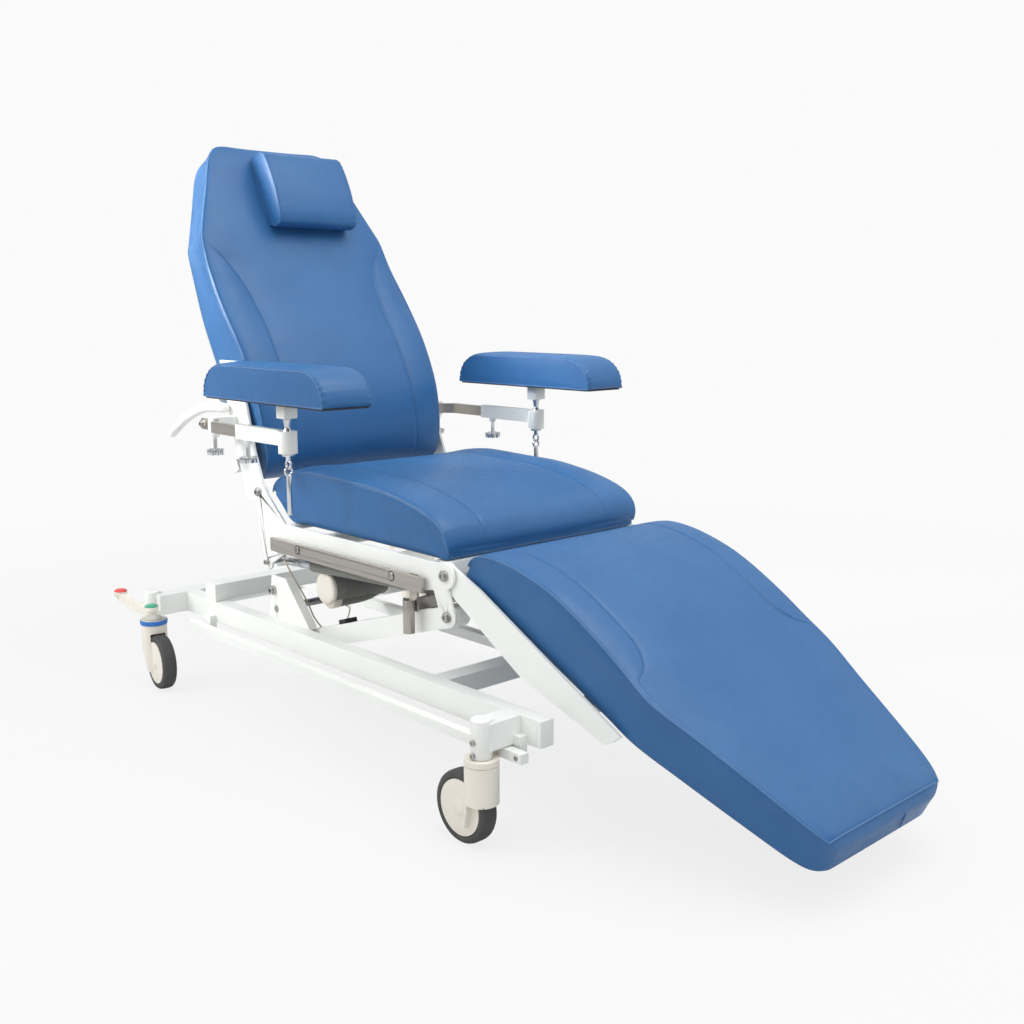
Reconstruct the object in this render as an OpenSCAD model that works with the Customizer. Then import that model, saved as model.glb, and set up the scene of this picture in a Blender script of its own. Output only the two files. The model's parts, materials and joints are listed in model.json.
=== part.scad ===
// Phlebotomy chair on four castors: lift base, seat, reclining back, leg rest and two adjustable arms.
// The occupant faces -Y, +Z is up and the floor is Z = 0. Side outlines are written as [Y, Z].

/* [Placing] */
// Distance from the origin back to the lower lift pivot
chair_y = 329; // [300:1:360]

/* [Base frame] */
// Half distance between the centre lines of the two side rails
rail_x = 298; // [290:1:310]
// Width of a side rail
rail_w = 30; // [26:1:32]
// Height of a side rail
rail_h = 46; // [40:1:50]
// Height of the rails' underside above the floor
rail_z = 160; // [155:1:170]
// Reach of the rails in front of the lower lift pivot
rail_front = 772; // [760:1:800]
// Reach of the rails behind the lower lift pivot
rail_rear = 404; // [380:1:420]
// Width of the rear cross tube, front to back
rear_tube_w = 44; // [38:1:48]
// Half distance between the castor sockets
socket_x = 380; // [370:1:395]
// Outer diameter of a castor socket
socket_d = 36; // [32:1:42]
// Height of a castor socket
socket_h = 66; // [60:1:72]
// Distance from the lower lift pivot forward to the front sockets
socket_front = 714; // [700:1:740]
// Distance from the lower lift pivot back to the rear sockets
socket_rear = 443; // [430:1:450]
// Distance from the lower lift pivot forward to the front cross tube
front_tube_reach = 495; // [480:1:520]
// Width of the front cross tube
front_tube_w = 41; // [30:1:46]
// Height of the front cross tube
front_tube_h = 35; // [30:1:38]
// Distance from the lower lift pivot back to the rear beam
beam_reach = 290; // [270:1:300]
// Width of the rear beam
beam_w = 45; // [40:1:50]
// Height of the rear beam
beam_h = 40; // [34:1:46]
// Side of the square spine tube
spine_w = 22; // [18:1:26]

/* [Castors] */
// Diameter of a castor wheel
wheel_d = 125; // [110:1:125]
// Width of a castor wheel
wheel_w = 32; // [28:1:34]
// Distance that the wheel axle trails behind the swivel axis
trail = 39; // [36:1:42]
// Diameter of the round castor housing
housing_d = 58; // [54:1:62]
// Diameter of the cover over the wheel's hub
cover_d = 96; // [84:1:98]
// Distance between the two ends of a brake pedal
pedal_len = 159; // [140:1:165]

/* [Lift] */
// Distance between the two pivots of a lift arm
arm_len = 520; // [500:1:530]
// Slope of the lift arms in the lowest position, in degrees
arm_rest = 17; // [16:0.5:18]
// Distance of the arms' front pivots in front of their rear pivots' usual place
arm_front = 497.28; // [495:0.01:505]
// Height of the arms' front pivots above the floor in the lowest position
arm_front_z = 315.03; // [312:0.01:322]
// Height of a lower lift arm's section
arm_h = 40; // [36:1:42]
// Width of a lower lift arm's section
arm_w = 30; // [26:1:31]
// Distance from the lower pivot back to the upper pivot
upper_back = 60; // [50:1:70]
// Height of the upper lift pivot above the lower one
upper_up = 62; // [56:1:64]
// Width of the upper lift arm
upper_w = 116; // [90:1:130]
// Thickness of the white side plates
plate_t = 6; // [5:1:7]

/* [Seat] */
// Half width of the seat cushion
seat_half = 258; // [250:1:259]
// Length of the seat cushion, front to back
seat_len = 591; // [570:1:600]
// Height of the seat frame's top edge above the floor
seat_z = 411; // [408:1:416]
// Height of the seat cushion above the frame
seat_rise = 129; // [110:1:140]
// Distance from the lower lift pivot back to the back's hinge
hinge_back = 136; // [130:1:140]
// Height of the back's hinge above the floor
hinge_z = 469; // [465:1:474]
// Distance from the lower lift pivot forward to the leg rest's hinge
knee_front = 490; // [486:1:496]
// Height of the leg rest's hinge above the floor
knee_z = 390; // [386:1:392]
// Length of an accessory rail
rail_bar_len = 514; // [460:1:520]
// Height of an accessory rail
rail_bar_h = 29; // [25:1:32]

/* [Back] */
// Height of the backrest cushion along its slope
back_len = 800; // [770:1:820]
// Half width of the backrest cushion
back_half = 254; // [240:1:255]
// Thickness of the backrest cushion
back_thick = 102; // [80:1:110]
// Length of the head pillow
pillow_len = 222; // [200:1:240]
// Height of the head pillow along the back
pillow_h = 200; // [180:1:205]
// Thickness of the head pillow
pillow_thick = 60; // [50:1:75]

/* [Leg rest] */
// Length of the leg cushion along its slope
leg_len = 775; // [740:1:790]
// Half width of the leg cushion
leg_half = 249; // [235:1:252]
// Thickness of the leg cushion
leg_thick = 96; // [80:1:104]

/* [Armrests] */
// Half distance between the middles of the two armrest pads
pad_x = 343; // [338:1:360]
// Width of an armrest pad
pad_w = 113; // [100:1:120]
// Length of an armrest pad
pad_len = 437; // [400:1:460]
// Height of the armrest pads' underside above the floor
pad_z = 680; // [674:1:690]
// Thickness of an armrest pad
pad_h = 72; // [60:1:80]
// Half distance between the two armrest posts
post_x = 338; // [334:1:344]
// Distance from the lower lift pivot forward to the armrest posts
post_front = 97; // [90:1:110]
// Outer diameter of the armrest clamp
clamp_d = 38; // [34:1:42]
// Height of the armrest tube
tube_h = 30; // [28:1:32]
// Diameter of a star knob
knob_d = 37; // [32:1:42]

/* [Hidden] */
$fn = 48;

// Colours
paint = [0.90, 0.90, 0.88];
vinyl = [0.27, 0.44, 0.63];
ivory = [0.83, 0.81, 0.77];
steel = [0.66, 0.65, 0.63];
chrome = [0.80, 0.80, 0.82];
rubber = [0.28, 0.29, 0.31];
bronze = [0.55, 0.50, 0.45];

// Clearances
running = 0.05;
sliding = 0.4;
gap = 1;
soft_gap = 0.5;
cut = 2;

// The frame's own heights start this far above the floor
chair_rise = 12;

// Lift geometry: pivots as [Y, Z]. The seat holds the front pivots, and the arms place the rear ones
reach = arm_len * cos(arm_rest);
rise = arm_len * sin(arm_rest);
lower_seat = [-arm_front, arm_front_z];
lower_base = lower_seat + [reach, -rise];
pivot_z = lower_base[1];
upper_base = lower_base + [upper_back, upper_up];
upper_seat = lower_seat + [upper_back, upper_up];
hinge = [hinge_back, hinge_z];
knee = [-knee_front, knee_z];

// Side plates: the seat plates stand outside the back and leg plates
seat_plate_x = 263;
side_plate_x = seat_plate_x - gap - plate_t;
arm_x = seat_plate_x - gap - arm_w;
rail_in = rail_x - rail_w / 2;
rail_out = rail_x + rail_w / 2;
rail_top = rail_z + rail_h;
pin_r = 8;
bolt_r = 10;
bolt_h = 5;

module on_chair() translate([0, chair_y, chair_rise]) children();
// Draws what is modelled on the occupant's right, at -X, on the wanted side
module on_side(side) mirror([side == "left" ? 1 : 0, 0, 0]) children();
module both_sides() { on_side("right") children(); on_side("left") children(); }
// Extrudes a [Y, Z] outline from x along +X
module slab(x, t) translate([x, 0, 0]) rotate([90, 0, 90]) linear_extrude(t) children();
// A rod along +X from x, centred on a [Y, Z] point
module rod_x(p, x, len, r) translate([x, p[0], p[1]]) rotate([0, 90, 0]) cylinder(h = len, r = r);
module box(lo, hi) translate(lo) cube(hi - lo);
// A bar with round ends from a to b in a [Y, Z] outline
module link(a, b, r) {
    d = b - a;
    len = norm(d);
    translate(a) rotate(atan2(d[1], d[0])) translate([0, running - r])
        square([len, 2 * (r - running)]);
    translate(a) circle(r);
    translate(b) circle(r);
}
function mix(a, b, t) = a + (b - a) * t;

// Soft forms
// Half of a cushion's section from the bottom middle up the side to the top middle, as shares of
// the half width and of the thickness: drawn-in side, welted corner, sewn channel, crowned middle
half_section_shares = [[0, 0], [0.55, 0], [0.93, 0.01], [0.985, 0.1], [0.968, 0.42], [0.985, 0.74],
    [1, 0.86], [0.955, 0.935], [0.8, 0.975], [0.68, 0.972], [0.655, 0.935], [0.63, 0.962], [0.34, 0.99],
    [0, 1]];
last_half = len(half_section_shares) - 1;
section_shares = concat(half_section_shares,
    [for (i = [last_half - 1:-1:1]) [-half_section_shares[i][0], half_section_shares[i][1]]]);
pad_half_shares = [[0, 0], [0.7, 0], [0.95, 0.06], [0.99, 0.3], [1, 0.55], [0.96, 0.82], [0.84, 0.95],
    [0.5, 0.99], [0, 1]];
last_pad = len(pad_half_shares) - 1;
pad_shares = concat(pad_half_shares,
    [for (i = [last_pad - 1:-1:1]) [-pad_half_shares[i][0], pad_half_shares[i][1]]]);
// A ring of a soft form: station = [top Y, top Z, bottom Y, bottom Z, half width]
function ring(st, shares) = [for (p = shares)
    [p[0] * st[4], mix(st[2], st[0], p[1]), mix(st[3], st[1], p[1])]];
function middle(pts) = [for (k = [0:2]) (max([for (p = pts) p[k]]) + min([for (p = pts) p[k]])) / 2];
// Lofts the section through the stations into one closed form
module soft_form(stations, shares) {
    n = len(shares);
    m = len(stations);
    rings = [for (st = stations) ring(st, shares)];
    points = concat([for (r = rings) each r], [middle(rings[0]), middle(rings[m - 1])]);
    sides = [for (j = [0:m - 2]) for (i = [0:n - 1]) each [
        [j * n + i, j * n + (i + 1) % n, (j + 1) * n + i],
        [j * n + (i + 1) % n, (j + 1) * n + (i + 1) % n, (j + 1) * n + i]]];
    first = [for (i = [0:n - 1]) [m * n, (i + 1) % n, i]];
    last = [for (i = [0:n - 1]) [m * n + 1, (m - 1) * n + i, (m - 1) * n + (i + 1) % n]];
    polyhedron(points, concat(sides, first, last));
}

// Base frame
socket_top = rail_top + 6;
stem_r = 9;
stem_h = 40;
end_cap_t = 10;
cap_wall = 2;
grub_r = 5;
grub_h = 2;
grub_z = [socket_top - socket_h + 6, rail_z + 14];
stub_w = 42;
module socket(y) translate([-socket_x, y, socket_top - socket_h]) difference() {
    union() {
        cylinder(h = socket_h - cap_wall, d = socket_d);
        translate([0, 0, socket_h - cap_wall])
            cylinder(h = cap_wall, d1 = socket_d, d2 = socket_d - 2 * cap_wall);
    }
    translate([0, 0, -cut]) cylinder(h = stem_h + cut + gap, r = stem_r + running);
}
module base_rail(side) color(paint) on_chair() on_side(side) {
    box([-rail_out, -rail_front, rail_z], [-rail_in, rail_rear, rail_top]);
    difference() {
        box([-socket_x, -socket_front - stub_w / 2, rail_z],
            [-rail_out, -socket_front + stub_w / 2, rail_top]);
        translate([-socket_x, -socket_front, 0]) cylinder(h = rail_top + cut, d = socket_d);
    }
    socket(-socket_front);
    // Hinge blocks that carry the foot bar
    for (y = hanger_y) difference() {
        box([-rail_out - hanger_w, y, foot_hinge[1] - hanger_w / 2],
            [-rail_out, y + hanger_len, rail_z + hanger_w]);
        along_y(foot_hinge, y - cut, hanger_len + 2 * cut, foot_pin_r + running);
    }
}
// A rod along +Y at [X, Z] from y
module along_y(p, y, len, r) translate([p[0], y, p[1]]) rotate([-90, 0, 0]) cylinder(h = len, r = r);
rear_tube_y = rail_rear + rear_tube_w / 2;
module base_rear_tube() color(paint) on_chair() {
    difference() {
        box([-socket_x, rail_rear, rail_z], [socket_x, rail_rear + rear_tube_w, rail_top]);
        both_sides() translate([-socket_x, socket_rear, 0]) cylinder(h = rail_top + cut, d = socket_d);
    }
    both_sides() {
        socket(socket_rear);
        slab(-pedal_x + pedal_arm + gap, lug_t)
            link([socket_rear + socket_d / 2, pedal_z], [pedal_y, pedal_z], pedal_arm);
        rod_x([pedal_y, pedal_z], -pedal_x - pedal_arm, 2 * pedal_arm + 2 * gap, pedal_pin_r);
    }
}
module base_front_tube() color(paint) on_chair() {
    box([-rail_in, -front_tube_reach - front_tube_w / 2, rail_top - front_tube_h],
        [rail_in, -front_tube_reach + front_tube_w / 2, rail_top]);
    slab(lift_lug_x, lug_t) link([-front_tube_reach, lift_anchor[1]], lift_anchor, eye_r);
    rod_x(lift_anchor, lift_lug_x, lift_x + eye_t / 2 - lift_lug_x, pin_r - cut);
}
spine_z = rail_z + 8;
module base_spine() color(paint) on_chair() box([-spine_w / 2, -front_tube_reach + front_tube_w / 2, spine_z],
    [spine_w / 2, rail_rear, spine_z + spine_w]);
module base_rear_beam() color(paint) on_chair()
    box([-rail_out + end_cap_t, beam_reach - beam_w / 2, rail_top],
    [rail_out - end_cap_t, beam_reach + beam_w / 2, rail_top + beam_h]);
module frame_end_caps() color(paint) on_chair() both_sides() {
    box([-rail_out, -rail_front - end_cap_t, rail_z], [-rail_in, -rail_front, rail_top]);
    box([-rail_out, beam_reach - beam_w / 2, rail_top], [-rail_out + end_cap_t, beam_reach + beam_w / 2,
        rail_top + beam_h]);
}
// Tower plates stand inside the rails and carry both lift pivots
tower_foot_y = [lower_base[0] - 66, lower_base[0] + 90];
tower_top_y = [lower_base[0] + 20, lower_base[0] + 75];
tower_low = 20;
tower_top = rail_top + 92;
tower_bolt = [lower_base[0] + 66, rail_top + 60];
flange_w = 20;
module lift_towers() color(paint) on_chair() both_sides() difference() {
    union() {
        slab(-rail_in, plate_t) polygon([[tower_foot_y[0], pivot_z - tower_low],
            [tower_foot_y[1], pivot_z - tower_low],
            [tower_foot_y[1], rail_top], [tower_top_y[1], tower_top], [tower_top_y[0], tower_top],
            [tower_foot_y[0], rail_top]]);
        slab(-rail_in, flange_w) polygon([[tower_foot_y[0], rail_top], [tower_top_y[0], tower_top],
            [tower_top_y[0] + plate_t, tower_top], [tower_foot_y[0] + plate_t, rail_top]]);
    }
    rod_x(lower_base, -rail_in - cut, plate_t + 2 * cut, pin_r);
    rod_x(upper_base, -rail_in - cut, plate_t + 2 * cut, pin_r);
}
module base_fasteners() color(bronze) on_chair() {
    rod_x(upper_base, -rail_in, 2 * rail_in, pin_r);
    both_sides() {
        rod_x(lower_base, -rail_in, rail_in - arm_x, pin_r);
        rod_x(tower_bolt, -rail_in - bolt_h, bolt_h, bolt_r);
        for (z = grub_z) rod_x([-socket_front, z], -socket_x - socket_d / 2 - grub_h, grub_h, grub_r);
    }
}
// Foot control bars hang on the rails
foot_bar_rear = 340;
foot_bar_front = 775;
foot_bar_w = 17;
foot_bar_z = 141;
foot_bar_x = 333;
hanger_w = 16;
hanger_len = 24;
foot_arm_w = 9;
foot_pin_r = 4;
foot_hinge = [-rail_out - hanger_w / 2, rail_z - 8];
hanger_y = [hanger_len - foot_bar_front, foot_bar_rear - 3 * hanger_len];
module foot_bar(side) color(paint) on_chair() on_side(side) {
    box([-foot_bar_x - foot_bar_w, -foot_bar_front, foot_bar_z],
        [-foot_bar_x, foot_bar_rear, foot_bar_z + foot_bar_w]);
    for (y = hanger_y) {
        box([-foot_bar_x - foot_bar_w, y + hanger_len + gap / 2, foot_bar_z],
            [foot_hinge[0] + foot_pin_r, y + hanger_len + foot_arm_w, foot_hinge[1] + foot_pin_r]);
        along_y(foot_hinge, y, hanger_len + gap, foot_pin_r);
    }
}

// Castors, modelled with the swivel axis at the origin and the wheel trailing along local -Y
front_turn = 180;
rear_turn = -7;
wheel_r = wheel_d / 2;
fork_gap = 1.5;
axle_r = 6;
housing_z = 80;
housing_top = chair_rise + socket_top - socket_h - gap;
groove_z = housing_top - 11;
groove = 1.4;
// The covers lie inside the tyre's ring, beside a narrow web
web_w = 14;
web_in = web_w / 2 + fork_gap;
castor_in = wheel_w / 2 + fork_gap;
cheek_out = wheel_w / 2 - 0.5;
tyre_in = cover_d / 2 + 1.2;
leg_low = housing_z - 44;
housing_side = [[-housing_d, housing_top + cut], [housing_d, housing_top + cut], [housing_d, housing_z],
    [-6, housing_z],
    [-6, housing_z - 10], [-16, leg_low], [-housing_d, leg_low]];
// The space that the wheel turns in, as [radius, distance across]
wheel_space = [[0, -web_in], [cover_d / 2, -web_in], [cover_d / 2, -castor_in],
    [wheel_r + 2 * fork_gap, -castor_in],
    [wheel_r + 2 * fork_gap, castor_in], [cover_d / 2, castor_in], [cover_d / 2, web_in], [0, web_in]];
module castor_place(x, y, turn) translate([x, chair_y + y, 0]) rotate([0, 0, turn]) children();
module castor_fork(x, y, turn) color(ivory) castor_place(x, y, turn) {
    difference() {
        union() {
            intersection() {
                translate([0, 0, leg_low]) cylinder(h = housing_top - leg_low, d = housing_d);
                slab(-housing_d, 2 * housing_d) polygon(housing_side);
            }
            slab(-cheek_out, 2 * cheek_out) translate([-trail, wheel_r]) circle(cover_d / 2 + gap);
        }
        translate([0, -trail, wheel_r]) rotate([0, 90, 0]) rotate_extrude() polygon(wheel_space);
        translate([0, 0, groove_z]) difference() {
            cylinder(h = groove, d = housing_d + cut);
            cylinder(h = groove, d = housing_d - 2 * groove);
        }
    }
    translate([0, 0, housing_top - cut]) cylinder(h = stem_h + cut + gap, r = stem_r);
    rod_x([-trail, wheel_r], -cheek_out, 2 * cheek_out, axle_r);
}
tyre_edge = 6;
module castor_wheel(x, y, turn) color(rubber) castor_place(x, y, turn) translate([0, -trail, wheel_r])
    rotate([0, 90, 0]) rotate_extrude() polygon([[axle_r + running, -web_w / 2], [tyre_in, -web_w / 2],
    [tyre_in, -wheel_w / 2], [wheel_r - tyre_edge, -wheel_w / 2], [wheel_r, -wheel_w / 2 + tyre_edge],
    [wheel_r, wheel_w / 2 - tyre_edge], [wheel_r - tyre_edge, wheel_w / 2], [tyre_in, wheel_w / 2],
    [tyre_in, web_w / 2], [axle_r + running, web_w / 2]]);
// Brake pedals rock on a cross pin outside the rear sockets
pedal_x = socket_x + 27;
pedal_y = socket_rear + 37;
pedal_z = rail_z + 12;
pedal_pin_r = 6;
pedal_arm = 9;
pad_oval = 17;
module brake_pedal(side) color(ivory) on_chair() on_side(side) {
    low = [pedal_y - pedal_len * 0.54, pedal_z + 6];
    high = [pedal_y + pedal_len * 0.46, pedal_z + 13];
    difference() {
        slab(-pedal_x - pedal_arm, 2 * pedal_arm) {
            link(low, [pedal_y, pedal_z], pedal_arm);
            link([pedal_y, pedal_z], high, pedal_arm);
        }
        rod_x([pedal_y, pedal_z], -pedal_x - pedal_arm - cut, 2 * (pedal_arm + cut), pedal_pin_r + running);
    }
    for (p = [low, high]) translate([-pedal_x, p[0], p[1]]) cylinder(h = pedal_arm + cut, r = pad_oval - cut);
}

// Lift arms
module lift_arms() color(paint) on_chair() both_sides() difference() {
    slab(-arm_x - arm_w, arm_w) link(lower_base, lower_seat, arm_h / 2);
    rod_x(lower_base, -arm_x - arm_w - cut, arm_w + 2 * cut, pin_r + running);
    rod_x(lower_seat, -arm_x - arm_w - cut, arm_w + 2 * cut, pin_r + running);
}
// The lift rod pushes a lug on the cross tube between the lower arms
cross_share = 0.48;
cross_r = 14;
cross_at = mix(lower_base, lower_seat, cross_share);
lift_x = 62;
lug_t = 8;
eye_r = 14;
eye_t = 14;
lift_tube_r = 17;
leg_tube_r = 13;
lift_lug_x = lift_x - lift_tube_r - gap - lug_t;
lift_eye = cross_at - [0, cross_r + eye_r];
module lift_cross_tube() color(paint) on_chair() {
    rod_x(cross_at, -arm_x, 2 * arm_x, cross_r);
    slab(lift_lug_x, lug_t) link(cross_at, lift_eye, eye_r);
}
stop_len = 26;
stop_h = 9;
module bump_stops() color(rubber) on_chair() both_sides() slab(-arm_x - arm_w + gap, arm_w - 2 * gap)
    translate(mix(lower_base, lower_seat, 0.3)) rotate(180 - arm_rest) translate([0, -arm_h / 2 - stop_h])
    square([stop_len, stop_h]);
upper_h = 34;
module lift_upper_arm() color(paint) on_chair() difference() {
    slab(-upper_w / 2, upper_w) link(upper_base, upper_seat, upper_h / 2);
    rod_x(upper_base, -upper_w / 2 - cut, upper_w + 2 * cut, pin_r + running);
    rod_x(upper_seat, -upper_w / 2 - cut, upper_w + 2 * cut, pin_r + running);
}
// Linear actuators: a tube with its motor, and a chrome rod that slides in the tube's bore
lift_anchor = [-front_tube_reach + front_tube_w / 2 + 16, rail_top - 18];
rod_r = 9;
rod_in = 120;
motor_r = 24;
function unit(v) = v / norm(v);
// A straight stretch of tube in the YZ plane at x, from a to b
module pipe_yz(x, a, b, r) {
    d = b - a;
    translate([x, a[0], a[1]]) rotate([-atan2(d[0], d[1]), 0, 0]) cylinder(h = norm(d), r = r);
}
lift_dir = unit(lift_eye - lift_anchor);
lift_tube_end = lift_eye - lift_dir * (eye_r + 3 * gap);
module lift_motor() color(ivory) on_chair() {
    difference() {
        union() {
            pipe_yz(lift_x, lift_anchor, lift_tube_end, lift_tube_r);
            slab(lift_x - eye_t / 2, eye_t) translate(lift_anchor) circle(eye_r);
            rod_x(lift_anchor + lift_dir * 2 * motor_r, lift_x, 3.6 * motor_r, motor_r);
        }
        pipe_yz(lift_x, lift_eye - lift_dir * (rod_in + eye_r), lift_eye, rod_r + sliding);
        rod_x(lift_anchor, lift_x - lift_tube_r - cut, 2 * (lift_tube_r + cut), pin_r - cut + running);
    }
}
module lift_rod() color(chrome) on_chair() {
    pipe_yz(lift_x, lift_eye - lift_dir * rod_in, lift_eye, rod_r);
    slab(lift_x - eye_t / 2, eye_t) translate(lift_eye) circle(eye_r);
}

// Seat frame
seat_low = 350;
seat_rear_y = 36;
seat_lobe = [110, 318];
lobe_r = 17;
knee_r = 25;
module seat_plates() color(paint) on_chair() both_sides() difference() {
    slab(-seat_plate_x - plate_t, plate_t) {
        polygon([[-knee_front, knee_z - knee_r], [-knee_front, knee_z + knee_r - gap],
            [-knee_front + knee_r, seat_z], [seat_rear_y, seat_z],
                [hinge_back - lobe_r / 2, hinge_z + lobe_r],
            [hinge_back + lobe_r, hinge_z], [seat_lobe[0] + lobe_r, seat_lobe[1]],
                [seat_lobe[0] - lobe_r, seat_lobe[1]],
            [seat_rear_y, seat_low], [-knee_front + 3 * knee_r, seat_low]]);
        translate(knee) circle(knee_r);
        translate(hinge) circle(lobe_r + 3 * gap);
        translate(seat_lobe) circle(lobe_r);
        link(lower_seat, [lower_seat[0] + knee_r, seat_low + knee_r], arm_h / 2);
    }
    rod_x(hinge, -seat_plate_x - plate_t - cut, plate_t + 2 * cut, pin_r);
    rod_x(knee, -seat_plate_x - plate_t - cut, plate_t + 2 * cut, pin_r);
    rod_x(lower_seat, -seat_plate_x - plate_t - cut, plate_t + 2 * cut, pin_r);
    rod_x(seat_lobe, -seat_plate_x - plate_t - cut, plate_t + 2 * cut, pin_r - cut);
}
member = 24;
member_z = seat_z - member;
front_member_y = -knee_front + 6;
rear_member = [62, 340];
support_t = 8;
bracket_t = 12;
support_x = 190;
support_rear = 8;
ear_t = 6;
upper_ear_x = upper_w / 2 + gap;
back_rod_x = 130;
back_anchor = [-430, 345];
// Tubes and flats between the seat plates carry the cushion, the upper lift arm and the back motor
module seat_cross_tubes() color(paint) on_chair() {
    back_ear_x = back_rod_x - leg_tube_r - gap - ear_t;
    box([gap - side_plate_x, front_member_y, member_z],
        [side_plate_x - gap, front_member_y + member, seat_z]);
    both_sides() box([-seat_plate_x, front_member_y + member, member_z],
        [-seat_plate_x + 2 * member, front_member_y + member + bracket_t, seat_z]);
    box([-seat_plate_x, rear_member[0], rear_member[1]],
        [seat_plate_x, rear_member[0] + member, rear_member[1] + member]);
    box([-seat_plate_x, support_rear, seat_z - support_t], [seat_plate_x, support_rear + member, seat_z]);
    both_sides() box([-support_x - member / 2, front_member_y + member, seat_z - support_t],
        [-support_x + member / 2, support_rear, seat_z]);
    both_sides() difference() {
        slab(-upper_ear_x - ear_t, ear_t) {
            translate(upper_seat) circle(upper_h / 2);
            polygon([upper_seat - [0, upper_h / 2], [front_member_y + member - gap, member_z],
                [front_member_y + member - gap, seat_z], upper_seat + [0, upper_h / 2]]);
        }
        rod_x(upper_seat, -upper_ear_x - ear_t - cut, ear_t + 2 * cut, pin_r);
    }
    slab(back_ear_x, ear_t) link([front_member_y + member / 2, member_z + member / 2], back_anchor,
        eye_r - cut);
    rod_x(back_anchor, back_ear_x, back_rod_x + eye_t / 2 - back_ear_x, pin_r - cut);
}
rail_bar_x = 276;
rail_bar_t = 8;
rail_bar_z = 351;
rail_bar_front = -441;
rail_bar_bolts = [-352, -32];
rail_bolt_z = rail_bar_z + rail_bar_h * 0.6;
module accessory_rails() color(steel) on_chair() both_sides() difference() {
    box([-rail_bar_x - rail_bar_t, rail_bar_front, rail_bar_z],
        [-rail_bar_x, rail_bar_front + rail_bar_len, rail_bar_z + rail_bar_h]);
    for (y = rail_bar_bolts) rod_x([y, rail_bolt_z], -rail_bar_x - rail_bar_t - cut, rail_bar_t + 2 * cut,
        pin_r + running);
}
module seat_fasteners() color(bronze) on_chair() {
    both_sides() {
        for (y = rail_bar_bolts) rod_x([y, rail_bolt_z], -rail_bar_x - rail_bar_t,
            rail_bar_x + rail_bar_t - seat_plate_x - plate_t, pin_r);
        for (p = [hinge, knee]) {
            rod_x(p, -seat_plate_x - plate_t, plate_t + gap + plate_t, pin_r);
            rod_x(p, -seat_plate_x - plate_t - bolt_h, bolt_h, bolt_r);
        }
        rod_x(lower_seat, -seat_plate_x - plate_t, seat_plate_x + plate_t - arm_x, pin_r);
        rod_x(lower_seat, -seat_plate_x - plate_t - bolt_h, bolt_h, bolt_r);
    }
    rod_x(seat_lobe, -seat_plate_x - plate_t - bolt_h,
        seat_plate_x + plate_t + bolt_h - leg_rod_x + eye_t / 2, pin_r - cut);
    rod_x(upper_seat, -upper_ear_x - ear_t, 2 * (upper_ear_x + ear_t), pin_r);
}
post_r = 11;
post_wall = 3;
pole_x = 284;
pole_y = -404;
pole_low = 270;
pole_h = 63;
pole_bar_h = 23;
pole_bar_t = 8;
pole_bar_len = 164;
tab_t = 4;
module pole_socket() color(steel) on_chair() difference() {
    union() {
        translate([-pole_x, pole_y, pole_low]) cylinder(h = pole_h, r = post_r);
        box([-pole_x, pole_y - pole_bar_t / 2, pole_low + pole_h - pole_bar_h],
            [-pole_x + pole_bar_len, pole_y + pole_bar_t / 2, pole_low + pole_h]);
        box([-seat_plate_x - plate_t - tab_t, pole_y - pole_bar_h / 2, pole_low + pole_h - pole_bar_h],
            [-seat_plate_x - plate_t, pole_y + pole_bar_h / 2, rail_bar_z + rail_bar_h]);
    }
    translate([-pole_x, pole_y, pole_low - cut]) cylinder(h = pole_h, r = post_r - post_wall);
}
// Cushion stations run from one end to the other as [top Y, top Z, bottom Y, bottom Z, half width];
// tables of shares follow the length, the rise and the half width of the cushion
seat_front_y = -knee_front + 8;
seat_shares = [[1, 0.46, 0.995, 0.44, 0.97], [0.99, 0.52, 0.98, 0.4, 0.985], [0.95, 0.72, 0.93, 0.23, 1],
    [0.87, 0.9, 0.875, 0, 1], [0.76, 0.985, 0.78, 0, 1], [0.68, 0.99, 0.7, 0, 1], [0.5, 0.965, 0.5, 0, 1],
    [0.375, 0.945, 0.375, 0, 1], [0.25, 0.87, 0.26, 0, 1], [0.16, 0.78, 0.18, 0, 1],
    [0.08, 0.66, 0.1, 0, 1], [0.025, 0.5, 0.05, 0, 1], [0.004, 0.32, 0.024, 0.003, 0.995],
    [0, 0.18, 0.01, 0.02, 0.985], [0.004, 0.12, 0.005, 0.06, 0.97]];
function seat_stations() = [for (s = seat_shares) [seat_front_y + s[0] * seat_len, seat_z + s[1] * seat_rise,
    seat_front_y + s[2] * seat_len, seat_z + s[3] * seat_rise, s[4] * seat_half]];
module seat_cushion() color(vinyl) on_chair() soft_form(seat_stations(), section_shares);

// Backrest, modelled along its slope: u runs up the rear plane, v forward from it
back_tilt = 26.5;
back_foot = [212, 474];
back_up = [sin(back_tilt), cos(back_tilt)];
back_front = [-cos(back_tilt), sin(back_tilt)];
function on_back(u, v) = back_foot + u * back_up + v * back_front;
// Shares: [along the length, front face in thicknesses, rear face, half width]
back_shares = [[0, 0.42, 0.36, 0.91], [0.006, 0.62, 0.12, 0.925], [0.03, 0.88, 0, 0.94],
    [0.09, 1.14, 0, 0.96],
    [0.2, 1.36, 0, 0.985], [0.34, 1.36, 0, 1], [0.48, 1.16, 0, 0.985], [0.6, 1, 0, 0.965],
        [0.7, 0.98, 0, 0.945],
    [0.72, 0.98, 0, 0.922], [0.83, 0.98, 0, 0.79], [0.94, 0.98, 0.02, 0.662], [0.975, 0.97, 0.1, 0.605],
    [0.992, 0.94, 0.22, 0.53], [1, 0.84, 0.4, 0.43]];
function back_stations() = [for (s = back_shares) concat(on_back(s[0] * back_len, s[1] * back_thick),
    on_back(s[0] * back_len, s[2] * back_thick), [s[3] * back_half])];
module back_cushion() color(vinyl) on_chair() soft_form(back_stations(), section_shares);
back_plate_foot = 24;
back_plate_w = 66;
plate_top = [262, 746];
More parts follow.
